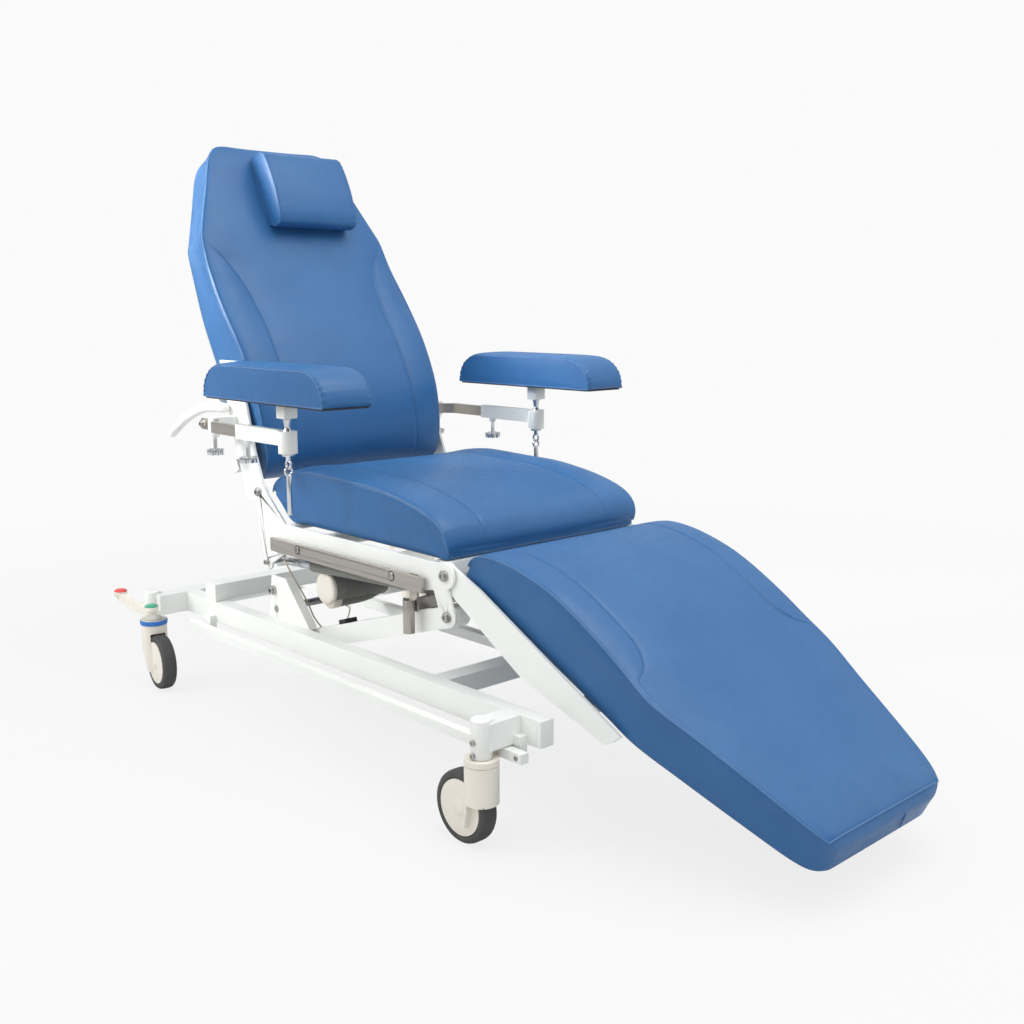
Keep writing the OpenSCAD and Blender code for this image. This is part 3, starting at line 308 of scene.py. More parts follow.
# %% Vinyl
def vinyl(name, dark, light):
    f = Finish(name)
    f.set(IOR=1.4, Coat_Weight=0.06, Coat_Roughness=0.25)
    f.colour(f.noise(9, 3), dark, light)
    f.roughness(f.noise(60, 3), 0.36, 0.46)
    f.relief(f.noise(30, 4), 0.0012, 0.25)
    f.relief(f.spread(f.cells(760), 0, 1, 0.0, 0.35), 0.00018, 0.35)
    return f.mat


blue_vinyl = vinyl("blue_vinyl", srgb(43, 95, 147), srgb(48, 101, 153))
# The thread is the cover's vinyl in a lighter blue: a painted highlight on the welts and stitches.
thread = vinyl("blue_thread_painted_highlight", srgb(66, 110, 158), srgb(74, 118, 166))
print("vinyl", blue_vinyl.name)


# %% [markdown]
# ### Powder coat, plastics and metals
# Powder coat has a faint orange peel. Moulded plastic has a fine spark texture and a warmer tone. Brushed
# steel is drawn along the bar, so its noise is stretched. Chrome is nearly a mirror, with tiny variations.


# %% Hard finishes
def powder_coat(name, dark, light):
    f = Finish(name)
    f.set(IOR=1.5, Coat_Weight=0.25, Coat_Roughness=0.2)
    f.colour(f.noise(5, 3), dark, light)
    f.roughness(f.noise(40, 3), 0.30, 0.42)
    f.relief(f.noise(420, 2), 0.0002, 0.22)
    return f.mat


def moulded(name, dark, light, rough=(0.38, 0.5)):
    f = Finish(name)
    f.set(IOR=1.46)
    f.colour(f.noise(14, 3), dark, light)
    f.roughness(f.noise(80, 3), *rough)
    f.relief(f.noise(900, 2), 0.00012, 0.3)
    return f.mat


BRUSH_LINES = (900, 14, 900)


def brushed(name, dark, light):
    f = Finish(name)
    f.set(Metallic=1.0)
    lines = f.noise(1, 3, 0.6, f.stretched(BRUSH_LINES))
    f.colour(lines, dark, light)
    f.roughness(lines, 0.28, 0.42)
    f.relief(lines, 0.00006, 0.5)
    return f.mat


def plated(name, dark, light, rough=(0.06, 0.16)):
    f = Finish(name)
    f.set(Metallic=1.0)
    f.colour(f.noise(25, 3), dark, light)
    f.roughness(f.noise(70, 4), *rough)
    f.relief(f.noise(300, 2), 0.00004, 0.3)
    return f.mat


def rubbery(name, dark, light):
    f = Finish(name)
    f.set(IOR=1.45)
    f.colour(f.noise(18, 4), dark, light)
    f.roughness(f.noise(90, 4), 0.55, 0.75)
    f.relief(f.noise(500, 3), 0.0002, 0.4)
    return f.mat


FINISHES = {
    "white_paint": powder_coat("white_paint", srgb(237, 238, 234), srgb(242, 243, 239)),
    "blue_vinyl": blue_vinyl,
    "ivory_plastic": moulded("ivory_plastic", srgb(232, 226, 213), srgb(238, 232, 220)),
    # Grey plastic is its own grey, darkened further to the shade it lies in under the seat rail: painted
    # shade on the gear housing, the motor bands and the wheel cores.
    "grey_plastic": moulded("grey_plastic", srgb(118, 118, 112), srgb(129, 128, 122)),
    "tyre_rubber": rubbery("tyre_rubber", srgb(66, 66, 66), srgb(80, 79, 77)),
    "black_rubber": rubbery("black_rubber", srgb(34, 34, 36), srgb(46, 46, 48)),
    "stainless_steel": brushed("stainless_steel", srgb(168, 162, 155), srgb(196, 190, 183)),
    "zinc_steel": plated("zinc_steel", srgb(166, 165, 163), srgb(190, 189, 187), (0.2, 0.34)),
    "chrome_plate": plated("chrome_plate", srgb(205, 206, 208), srgb(226, 227, 229)),
    "cable_sheath": moulded("cable_sheath", srgb(196, 178, 156), srgb(210, 194, 172)),
}
blue_ring = moulded("blue_ring", srgb(48, 112, 196), srgb(60, 128, 210))
red_cap = moulded("red_cap", srgb(226, 76, 74), srgb(240, 92, 88))
green_cap = moulded("green_cap", srgb(58, 160, 126), srgb(72, 176, 142))
dark_board = moulded("dark_board", srgb(48, 48, 50), srgb(60, 60, 62), (0.6, 0.8))
print(len(FINISHES), "finishes")

# %% [markdown]
# ## The CAD pieces that stay
# Rails, plates and castors keep their CAD meshes. Each takes the finish of its slot. Welding the corners
# and adding a small bevel rounds the sheared edges, as paint does on real steel.

# %% Finish the CAD nodes
CORNER_ANGLE = math.radians(40)
CORNER_WELD = 0.00002
SOFT = {"seat_cushion", "back_cushion", "leg_cushion", "head_pillow", "arm_pad_right", "arm_pad_left"}
BEVEL = {"white_paint": 0.0016, "ivory_plastic": 0.0014, "grey_plastic": 0.002,
         "stainless_steel": 0.0007, "zinc_steel": 0.0006, "chrome_plate": 0.0006, "black_rubber": 0.001}
UNROUNDED = {"lift_arms"} | {name for name in frame["nodes"] if name.startswith("castor_fork")}
slots = {row["node"]: row["material_slot"] for row in frame["record"]["subparts"]}
for name, obj in frame["nodes"].items():
    slot = slots[name]
    obj.data.materials.clear()
    obj.data.materials.append(FINISHES[slot])
    width = BEVEL.get(slot)
    if name in SOFT or name in UNROUNDED or width is None:
        continue
    weld = obj.modifiers.new("weld", "WELD")
    weld.merge_threshold = CORNER_WELD
    bevel = obj.modifiers.new("bevel", "BEVEL")
    bevel.width = width
    bevel.segments = 2
    bevel.limit_method = "ANGLE"
    bevel.angle_limit = CORNER_ANGLE
    bevel.harden_normals = True
print(len(frame["nodes"]), "nodes finished")

# %% [markdown]
# ## Making meshes
# Three helpers make nearly everything: rings joined into a skin, a tube along a path and a turned form.


# %% Mesh helpers
def piece(name, points, faces, material, body, slot):
    """A named mesh with outward normals and smooth shading and its material, on its body. The slot argument
    is not used.
    """
    mesh = bpy.data.meshes.new(name)
    corners = [tuple(map(float, p)) for p in points]
    loops = [tuple(int(i) for i in f) for f in faces]
    mesh.from_pydata(corners, [], loops)
    mesh.validate()
    solid = bmesh.new()
    solid.from_mesh(mesh)
    bmesh.ops.recalc_face_normals(solid, faces=solid.faces)
    solid.to_mesh(mesh)
    solid.free()
    mesh.materials.append(material)
    mesh.polygons.foreach_set("use_smooth", [True] * len(mesh.polygons))
    obj = bpy.data.objects.new(name, mesh)
    bpy.context.collection.objects.link(obj)
    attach(obj, body)
    return obj


def skin(rings, first_cap=True, last_cap=True):
    """Quads between closed rings of equal length, closed by fans at the ends."""
    m, n = len(rings), len(rings[0])
    points = [p for ring in rings for p in ring]
    faces = []
    for j in range(m - 1):
        for i in range(n):
            k = (i + 1) % n
            faces.append((j * n + i, j * n + k, (j + 1) * n + k, (j + 1) * n + i))
    if first_cap:
        points.append(np.mean(rings[0], axis=0))
        faces += [(len(points) - 1, (i + 1) % n, i) for i in range(n)]
    if last_cap:
        points.append(np.mean(rings[-1], axis=0))
        faces += [(len(points) - 1, (m - 1) * n + i, (m - 1) * n + (i + 1) % n) for i in range(n)]
    return points, faces


def unit(v):
    return v / max(np.linalg.norm(v), 1e-12)


DOME_ANGLES = [math.radians(a) for a in (25, 50, 75)]


def tube_rings(path, radius, sides=12, round_ends=True):
    """Rings round a path. Rounded ends are drawn in as half a sphere."""
    path = [np.asarray(p, float) for p in path]
    count = len(path)
    heads = [unit(path[min(i + 1, count - 1)] - path[max(i - 1, 0)]) for i in range(count)]
    side = unit(np.cross(heads[0], [1, 0, 0] if abs(heads[0][0]) < 0.8 else [0, 0, 1]))
    rings = []
    for i, (p, d) in enumerate(zip(path, heads)):
        side = unit(side - d * np.dot(side, d))
        other = np.cross(d, side)
        turn = [2 * math.pi * k / sides for k in range(sides)]
        circle = np.array([side * math.cos(a) + other * math.sin(a) for a in turn])
        if round_ends and i == 0:
            for a in DOME_ANGLES[::-1]:
                rings.append(p - d * radius * math.sin(a) + circle * radius * math.cos(a))
        rings.append(p + circle * radius)
        if round_ends and i == count - 1:
            for a in DOME_ANGLES:
                rings.append(p + d * radius * math.sin(a) + circle * radius * math.cos(a))
    return rings


def tube(name, path, radius, material, body, slot, sides=12, round_ends=True):
    return piece(name, *skin(tube_rings(path, radius, sides, round_ends)), material, body, slot)


def turned(name, profile, centre, axis, material, body, slot, segments=48, closed=False):
    """A lathe form: profile is (radius, distance along the axis). A closed profile makes a ring."""
    axis = unit(np.asarray(axis, float))
    side = unit(np.cross(axis, [0, 0, 1] if abs(axis[2]) < 0.8 else [1, 0, 0]))
    other = np.cross(axis, side)
    rings = []
    for r, h in profile + ([profile[0]] if closed else []):
        rings.append([centre + axis * h + r * (side * math.cos(a) + other * math.sin(a))
                      for a in np.linspace(0, 2 * math.pi, segments, endpoint=False)])
    points, faces = skin(rings, not closed, not closed)
    obj = piece(name, points, faces, material, body, slot)
    if closed:
        weld = obj.modifiers.new("weld", "WELD")
        weld.merge_threshold = 0.00001
    return obj


def in_mm(profile):
    """A lathe profile given in millimetres, in metres."""
    return [(r * MM, h * MM) for r, h in profile]


def spline(points, steps):
    """A smooth curve through the points."""
    p = np.asarray(points, float)
    out = []
    for i in range(len(p) - 1):
        a, b, c, d = p[max(i - 1, 0)], p[i], p[i + 1], p[min(i + 2, len(p) - 1)]
        for k in range(steps):
            t = k / steps
            out.append(0.5 * (2 * b + (c - a) * t + (2 * a - 5 * b + 4 * c - d) * t * t
                              + (3 * b - a - 3 * c + d) * t * t * t))
    out.append(p[-1])
    return np.array(out)


print("mesh helpers ready")

# %% [markdown]
# ## Upholstery
# A chair cushion is a foam block in a sewn cover: a top panel with side bolsters, an inner seam where the
# centre panel meets each bolster, and flat side panels joined to the top at a crisp edge seam. The cover is
# built ring by ring along the cushion, so a row of vertices follows each seam. Cloth simulation with air
# pressure then fills the panels out between the seams, which stay pinned.


# %% Cushion rings
def resample(stations, spacing):
    """Smooth stations at an even distance along the cushion."""
    fine = spline(stations, 24)
    middle = (fine[:, 0:2] + fine[:, 2:4]) / 2
    steps = np.linalg.norm(np.diff(middle, axis=0), axis=1)
    steps += 0.5 * np.linalg.norm(np.diff(fine[:, 0:2] - fine[:, 2:4], axis=0), axis=1)
    length = np.concatenate([[0], np.cumsum(steps)])
    count = max(8, int(length[-1] / spacing))
    where = np.linspace(0, length[-1], count + 1)
    table = np.array([[np.interp(w, length, fine[:, k]) for k in range(5)] for w in where])
    return table, where / length[-1]


SIDE_SHARES = [
    (0.0, 0.0), (0.3, 0.0), (0.6, 0.0), (0.84, 0.0), (0.94, 0.006), (0.972, 0.03), (0.985, 0.09),
    (0.982, 0.2), (0.978, 0.34), (0.976, 0.48), (0.979, 0.6), (0.985, 0.71), (0.992, 0.79), (0.998, 0.84)]
BOLSTER_STEPS = (0.05, 0.12, 0.22, 0.34, 0.47, 0.6, 0.73, 0.85)
PANEL_STEPS = (0.05, 0.14, 0.26, 0.4, 0.55, 0.7, 0.85)
GROOVE_HALF = 3.0
SEAM_LIMIT = 0.955
SEAM_FADE = 0.12
EDGE = len(SIDE_SHARES)


def half_section(half, seam_x, crown, groove):
    """Half of a section as (x share, height share), from the bottom middle to the top middle."""
    seam = min(seam_x / half, SEAM_LIMIT)
    step = GROOVE_HALF / half
    fade = min(1.0, (1 - seam) / SEAM_FADE)
    rows = list(SIDE_SHARES) + [(1.0, crown(1.0))]
    for f in BOLSTER_STEPS:
        q = 1 - (1 - seam - step) * f
        rows.append((q, crown(q)))
    rows.append((seam + step, crown(seam + step)))
    rows.append((seam, crown(seam) - groove * fade))
    rows.append((seam - step, crown(seam - step)))
    for f in PANEL_STEPS:
        q = (seam - step) * (1 - f)
        rows.append((q, crown(q)))
    rows.append((0.0, crown(0.0)))
    return rows


SEAM = EDGE + len(BOLSTER_STEPS) + 2


RING_SPACING = 9


def crown_curve(points):
    """The height share across the half width, read from a few points."""
    xs, ys = zip(*points)
    return lambda q: float(np.interp(q, xs, ys))


def softly(points):
    """The same curve with rounded corners."""
    fine = spline(points, 12)
    order = np.argsort(fine[:, 0])
    return crown_curve(list(zip(fine[order, 0], fine[order, 1])))


def cover_rings(stations, seam_at, crown, groove):
    """Rings of the cover, in millimetres about the pivot."""
    table, shares = resample(stations, RING_SPACING)
    rings = []
    for (ty, tz, by, bz, half), s in zip(table, shares):
        rows = half_section(half, seam_at(s), crown, groove)
        loop = rows + [(-x, h) for x, h in rows[-2:0:-1]]
        rings.append(np.array([[x * half, by + (ty - by) * h, bz + (tz - bz) * h] for x, h in loop]))
    return rings


print("edge row", EDGE, "seam row", SEAM)


# %% Filling a cover with air
FILL_FRAMES = 14


def fill_out(obj, pinned, pressure, cap):
    """Swells the cover between its pinned seams. No point moves further than cap."""
    mesh = obj.data
    start = np.empty(len(mesh.vertices) * 3)
    mesh.vertices.foreach_get("co", start)
    start = start.reshape(-1, 3)
    group = obj.vertex_groups.new(name="seams")
    group.add([int(i) for i in pinned], 1.0, "REPLACE")
    cloth = obj.modifiers.new("fill", "CLOTH")
    settings = cloth.settings
    settings.quality = 4
    settings.mass = 0.4
    settings.tension_stiffness = 30
    settings.compression_stiffness = 30
    settings.bending_stiffness = 6
    settings.use_pressure = True
    settings.uniform_pressure_force = pressure
    settings.vertex_group_mass = "seams"
    settings.effector_weights.gravity = 0
    cloth.collision_settings.use_collision = False
    cloth.point_cache.frame_start = 1
    cloth.point_cache.frame_end = FILL_FRAMES
    scene = bpy.context.scene
    for number in range(1, FILL_FRAMES + 1):
        scene.frame_set(number)
    seen = obj.evaluated_get(bpy.context.evaluated_depsgraph_get())
    swollen = np.empty(len(mesh.vertices) * 3)
    seen.data.vertices.foreach_get("co", swollen)
    swollen = swollen.reshape(-1, 3)
    obj.modifiers.remove(cloth)
    scene.frame_set(1)
    moved = swollen - start
    far = np.linalg.norm(moved, axis=1, keepdims=True)
    moved *= cap * np.tanh(far / cap) / np.maximum(far, 1e-9)
    mesh.vertices.foreach_set("co", (start + moved).ravel())
    mesh.update()
    most = float(np.linalg.norm(moved, axis=1).max()) / MM
    print(obj.name, "filled out by up to", round(most, 1), "mm")


def vertex_table(obj):
    """Places and normals of an object's vertices."""
    mesh = obj.data
    co = np.empty(len(mesh.vertices) * 3)
    mesh.vertices.foreach_get("co", co)
    no = np.empty(len(mesh.vertices) * 3)
    mesh.vertex_normals.foreach_get("vector", no)
    return co.reshape(-1, 3), no.reshape(-1, 3)


print("a cover fills out over", FILL_FRAMES, "frames")


# %% [markdown]
# ### Seams
# At the edge seam the two panels are folded and sewn. From a step away it is a fine raised welt with tiny
# gathers where the cover turns a corner. A welt tube is sunk into the edge, and a row of stitches runs beside
# the inner seams. Both are real thread, drawn in a lighter blue than the cover: a painted highlight along the
# seams.


# %% Seams and stitches
TUCK_RUN = 12.4
TUCK_SHARES = (0.0, 1.0, 1.0, 0.6, 0.6, 0.25, 0.25)
SHARP_BEND = 0.09
STITCH_PITCH = 0.0055
STITCH_LENGTH = 0.0036
STITCH_THICK = 0.0005


def gathers(rings, rows, depth, seed):
    """Small tucks along a seam row, strongest where the path bends."""
    rng = np.random.default_rng(seed)
    path = np.array([ring[rows[0]] for ring in rings])
    steps = np.linalg.norm(np.diff(path, axis=0), axis=1)
    along = np.concatenate([[0], np.cumsum(steps)])
    heads = np.diff(path, axis=0) / np.maximum(steps[:, None], 1e-9)
    bend = np.zeros(len(path))
    bend[1:-1] = np.linalg.norm(np.diff(heads, axis=0), axis=1)
    bend = np.convolve(bend, np.ones(5) / 5, "same")
    strength = np.clip(bend / SHARP_BEND, 0.12, 1.0)
    wander = np.cumsum(rng.normal(0, 0.35, len(path)))
    wave = np.sin(along / TUCK_RUN * 2 * math.pi + wander)
    tuck = depth * strength * wave
    for j, ring in enumerate(rings):
        centre = ring.mean(axis=0)
        for row, share in zip(rows, TUCK_SHARES):
            out = unit(ring[row] - centre)
            ring[row] = ring[row] + out * tuck[j] * share


def stitches(name, path, normals, body):
    """A row of short thread stitches along a path."""
    path = np.asarray(path)
    steps = np.linalg.norm(np.diff(path, axis=0), axis=1)
    along = np.concatenate([[0], np.cumsum(steps)])
    points, faces = [], []

    def read(table, w):
        return np.array([np.interp(w, along, table[:, k]) for k in range(3)])

    for w in np.arange(STITCH_PITCH, along[-1] - STITCH_PITCH, STITCH_PITCH):
        ends = [read(path, w + e * STITCH_LENGTH / 2) for e in (-1, 1)]
        up = unit(read(normals, w))
        run = unit(ends[1] - ends[0])
        side = np.cross(run, up)
        base = len(points)
        for end, size in ((ends[0], 0.4), ((ends[0] + ends[1]) / 2, 1.0), (ends[1], 0.4)):
            for a in (0, math.radians(90), math.radians(180), math.radians(270)):
                points.append(end + STITCH_THICK * size * (side * math.cos(a) + up * math.sin(a)))
        for j in (0, 4):
            for i in range(4):
                k = (i + 1) % 4
                faces.append((base + j + i, base + j + k, base + j + 4 + k, base + j + 4 + i))
        faces += [(base + 3, base + 2, base + 1, base), (base + 8, base + 9, base + 10, base + 11)]
    return piece(name, points, faces, thread, body, "blue_vinyl")


def smooth_path(path, passes=3):
    """The path with each inner point eased towards its neighbours."""
    path = np.array(path, float)
    for _ in range(passes):
        path[1:-1] = (path[:-2] + 2 * path[1:-1] + path[2:]) / 4
    return path


print("seam helpers ready")

# %% [markdown]
# ### A whole cover
# A real cover is cut from a top panel, two bolsters and two side panels. It could be modelled as one box with
# a bevel, but then no seam would show. Here one skin carries the seams as rows of points, is filled out, and
# then gets its welts, its stitches and one level of subdivision.

# %% Upholstery helper
GATHER_DEPTH = 0.9
FLAT_ROWS = 7
COVER_PRESSURE = 2.2
COVER_CAP = 0.005
WELT_R = 0.0015
STITCH_LIFT = 0.0002


def subdivide(obj):
    mod = obj.modifiers.new("smooth", "SUBSURF")
    mod.levels = 1
    mod.render_levels = 1


def upholster(name, node, body, stations, seam_at, crown, groove, cross_ring=None, seam_until=1.0):
    """A panelled cushion with its welts and stitches, in place of a CAD node."""
    rings = cover_rings(stations, seam_at, crown, groove)
    n, m = len(rings[0]), len(rings)

    def mirror(row):
        return (n - row) % n

    def row(r):
        return [j * n + r for j in range(m)]

    rows = (EDGE, EDGE - 1, EDGE + 1, EDGE - 2, EDGE + 2, EDGE - 3, EDGE + 3)
    gathers(rings, rows, GATHER_DEPTH, len(name))
    gathers(rings, [mirror(r) for r in rows], GATHER_DEPTH, len(name) + 1)
    points, faces = skin([at_all(ring) for ring in rings])
    obj = piece(name, points, faces, blue_vinyl, body, slots[node])
    pinned = [j * n + r for j in range(m) for r in (*range(0, FLAT_ROWS), EDGE, SEAM)]
    pinned += [j * n + mirror(r) for j in range(m) for r in (*range(1, FLAT_ROWS), EDGE, SEAM)]
    pinned += [*range(n)] + [(m - 1) * n + i for i in range(n)] + [m * n, m * n + 1]
    if cross_ring is not None:
        pinned += [(cross_ring % m) * n + i for i in range(n)]
    fill_out(obj, sorted(set(pinned)), COVER_PRESSURE, COVER_CAP)
    co, normals = vertex_table(obj)
    welt = []
    if cross_ring is None:
        for r in (EDGE, mirror(EDGE)):
            welt.append(smooth_path(co[row(r)]))
    else:
        end = cross_ring % m
        across = [end * n + i for i in range(EDGE, mirror(EDGE) + 1)]
        ids = row(EDGE)[:end] + across + row(mirror(EDGE))[:end][::-1]
        welt.append(smooth_path(co[ids], 4))
    for k, path in enumerate(welt):
        tube(f"{name}_welt_{k}", path, WELT_R, thread, body, slots[node], 8)
    last = int(seam_until * (m - 1))
    for k, r in enumerate((SEAM - 1, mirror(SEAM - 1))):
        ids = row(r)[2:last]
        raised = co[ids] + normals[ids] * STITCH_LIFT
        stitches(f"{name}_stitches_{k}", smooth_path(raised, 1), normals[ids], body)
    subdivide(obj)
    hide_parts(node)
    print(name, len(obj.data.vertices), "vertices")


print("covers fill out by at most", COVER_CAP / MM, "mm")

# %% [markdown]
# ### Seat
# The seat is deepest at the back, falls towards the knees and rolls over the front edge. Its centre panel is
# sewn in at about 160 mm each side of the middle. It could be sculpted by hand. A few stations along it, as
# shares of its length and height, are easier to correct: one line changes and the rest stays.

# %% Seat cushion
SEAT_Y, SEAT_Z, SEAT_LEN, SEAT_RISE, SEAT_HALF = -482, 411, 591, 129, 258
SEAT_SHARES = [
    (1, 0.46, 0.995, 0.44, 0.97), (0.99, 0.52, 0.98, 0.4, 0.985), (0.95, 0.72, 0.93, 0.23, 1),
    (0.87, 0.9, 0.875, 0, 1), (0.76, 0.985, 0.78, 0, 1), (0.68, 0.99, 0.7, 0, 1), (0.5, 0.965, 0.5, 0, 1),
    (0.375, 0.945, 0.375, 0, 1), (0.25, 0.87, 0.26, 0, 1), (0.16, 0.78, 0.18, 0, 1), (0.08, 0.66, 0.1, 0, 1),
    (0.025, 0.5, 0.05, 0, 1), (0.004, 0.32, 0.024, 0.003, 0.995), (0, 0.18, 0.01, 0.02, 0.985),
    (0.004, 0.12, 0.005, 0.06, 0.97)]
SEAT_SEAM = 162
SEAT_GROOVE = 0.022
seat_stations = [(SEAT_Y + a * SEAT_LEN, SEAT_Z + b * SEAT_RISE, SEAT_Y + c * SEAT_LEN,
                  SEAT_Z + d * SEAT_RISE, e * SEAT_HALF)
                 for a, b, c, d, e in SEAT_SHARES]
seat_crown = softly([(0, 0.965), (0.3, 0.965), (0.62, 0.975), (0.8, 1.0), (0.9, 0.985), (0.955, 0.97),
                     (0.985, 0.945), (1, 0.92)])
upholster("seat_cover", "seat_cushion", "seat", seat_stations, lambda s: SEAT_SEAM, seat_crown, SEAT_GROOVE)

# %% [markdown]
# ### Back
# The back has bolsters beside the lumbar panel. Their inner seams rise at 170 mm from the middle and sweep
# out to the edge at shoulder height, where the back starts to narrow. Its stations are given along the
# sloping board and square to it, which keeps the slope out of the shape.

# %% Back cushion
BACK_TILT = math.radians(26.5)
BACK_FOOT, BACK_LEN, BACK_THICK, BACK_HALF = np.array([212, 474]), 805, 102, 254
BACK_UP = np.array([math.sin(BACK_TILT), math.cos(BACK_TILT)])
BACK_FRONT = np.array([-math.cos(BACK_TILT), math.sin(BACK_TILT)])


def on_back(u, v):
    return BACK_FOOT + u * BACK_UP + v * BACK_FRONT


BACK_SHARES = [
    (0, 0.42, 0.36, 0.91), (0.006, 0.62, 0.12, 0.925), (0.03, 0.88, 0, 0.94), (0.09, 1.14, 0, 0.96),
    (0.2, 1.36, 0, 0.985), (0.34, 1.36, 0, 1), (0.48, 1.16, 0, 1.01), (0.6, 1, 0, 0.99),
    (0.65, 0.98, 0, 0.98), (0.7, 0.98, 0, 0.967), (0.72, 0.98, 0, 0.944), (0.76, 0.98, 0, 0.896),
    (0.83, 0.98, 0, 0.812),
    (0.88, 0.98, 0, 0.754), (0.94, 0.98, 0.02, 0.684), (0.975, 0.97, 0.1, 0.625), (0.992, 0.94, 0.22, 0.55),
    (1, 0.84, 0.4, 0.45)]
BACK_SEAM, BACK_SEAM_EDGE, BACK_BEND, BACK_SEAM_END = 170, 250, 0.44, 0.68
BACK_GROOVE = 0.028
back_stations = [(*on_back(u * BACK_LEN, f * BACK_THICK), *on_back(u * BACK_LEN, r * BACK_THICK),
                  h * BACK_HALF)
                 for u, f, r, h in BACK_SHARES]


def sweeps_out(inner, start, end, edge):
    """A seam that runs inside and then turns out to the edge, as a quarter of an ellipse."""
    def place(s):
        if s <= start:
            return inner
        t = min((s - start) / (end - start), 1.0)
        return inner + (edge - inner) * (1 - math.sqrt(1 - t * t))
    return place


back_crown = softly([(0, 0.975), (0.3, 0.975), (0.62, 0.98), (0.82, 1.0), (0.91, 1.0), (0.96, 0.985),
                     (0.985, 0.965), (1, 0.94)])
back_seam = sweeps_out(BACK_SEAM, BACK_BEND, BACK_SEAM_END, BACK_SEAM_EDGE)
upholster("back_cover", "back_cushion", "back", back_stations, back_seam, back_crown, BACK_GROOVE,
          seam_until=BACK_SEAM_END)

# %% [markdown]
# ### Leg rest
# The leg cushion is broad under the knees, swells over the calves and tapers to the feet. Its inner seams
# meet the edge halfway down. The edge seam runs right round the foot end, and a short seam closes the cover
# there. It is built like the back, because then both cushions keep the same kind of seams.

# %% Leg cushion
LEG_TILT = math.radians(26)
LEG_ROOT, LEG_LEN, LEG_THICK, LEG_HALF = np.array([-509, 384]), 778, 96, 249
LEG_DOWN = np.array([-math.cos(LEG_TILT), -math.sin(LEG_TILT)])
LEG_UP = np.array([-math.sin(LEG_TILT), math.cos(LEG_TILT)])


def on_leg(u, v):
    return LEG_ROOT + u * LEG_DOWN + v * LEG_UP


LEG_SHARES = [
    (0.002, 0.32, 0.1, 0.97), (0.006, 0.5, 0.03, 0.985), (0.03, 0.73, 0, 1), (0.08, 0.96, 0, 1),
    (0.16, 1.16, 0, 1), (0.27, 1.28, 0, 1), (0.4, 1.22, 0, 1), (0.5, 1.1, 0, 1), (0.587, 1, 0, 1),
    (0.7, 0.93, -0.04, 0.905), (0.85, 0.83, -0.05, 0.79), (0.94, 0.75, -0.05, 0.714),
    (0.98, 0.68, -0.03, 0.65), (1, 0.5, 0.06, 0.56)]
LEG_SEAM, LEG_SEAM_EDGE, LEG_BEND, LEG_SEAM_END = 184, 246, 0.45, 0.545
LEG_GROOVE = 0.03
leg_stations = [(*on_leg(u * LEG_LEN, t * LEG_THICK), *on_leg(u * LEG_LEN, b * LEG_THICK), h * LEG_HALF)
                for u, t, b, h in LEG_SHARES]
leg_crown = softly([(0, 1.0), (0.4, 1.0), (0.7, 1.0), (0.86, 0.995), (0.93, 0.985), (0.975, 0.965),
                    (1, 0.94)])
leg_seam = sweeps_out(LEG_SEAM, LEG_BEND, LEG_SEAM_END, LEG_SEAM_EDGE)
upholster("leg_cover", "leg_cushion", "leg", leg_stations, leg_seam, leg_crown, LEG_GROOVE,
          cross_ring=-4, seam_until=LEG_SEAM_END)

# %% The leg rest's closing seam
CLOSING_X = 46
CLOSING_R = 0.0012
end_seam = [at(CLOSING_X, *on_leg((1 + 0.002 * k) * LEG_LEN, (0.49 - 0.13 * k) * LEG_THICK))
            for k in (0, 1, 1.6, 2)]
tube("leg_cover_end_seam", end_seam, CLOSING_R, thread, "leg", "blue_vinyl", 8)
print("closing seam of", len(end_seam), "points")

# %% [markdown]
# ### Pillow and arm pads
# These are bolsters: one strip of vinyl runs round the outline, and a flat side panel closes each end. A
# bevelled box would lose the strip's seams, so they are built across their width, as rings of the outline.


# %% Bolster helper
def outline_normals(loop):
    """Outward normals of a closed outline."""
    ahead, behind = np.roll(loop, -1, axis=0), np.roll(loop, 1, axis=0)
    run = ahead - behind
    normals = np.stack([run[:, 1], -run[:, 0]], axis=1)
    normals /= np.maximum(np.linalg.norm(normals, axis=1, keepdims=True), 1e-9)
    centre = loop.mean(axis=0)
    return normals if np.sum((loop - centre) * normals) > 0 else -normals


def even_loop(loop, spacing):
    """The closed outline with points at an even distance."""
    closed = np.vstack([loop, loop[:1]])
    along = np.concatenate([[0], np.cumsum(np.linalg.norm(np.diff(closed, axis=0), axis=1))])
    count = int(along[-1] / spacing)
    where = np.linspace(0, along[-1], count, endpoint=False)
    return np.stack([np.interp(where, along, closed[:, k]) for k in range(2)], axis=1)


SIDE_PANEL = (0.12, 0.35, 0.55, 0.72, 0.85, 0.93, 0.975)
STRIP_STEPS = (-1, -0.985, -0.965, -0.935, -0.89, -0.83, -0.74, -0.6, -0.42, -0.22, 0)
LOOP_SPACING = 4
BOLSTER_PRESSURE = 2.0
BOLSTER_CAP = 0.003
BOLSTER_WELT_R = 0.0013
BOLSTER_STITCH_LIFT = 0.0001


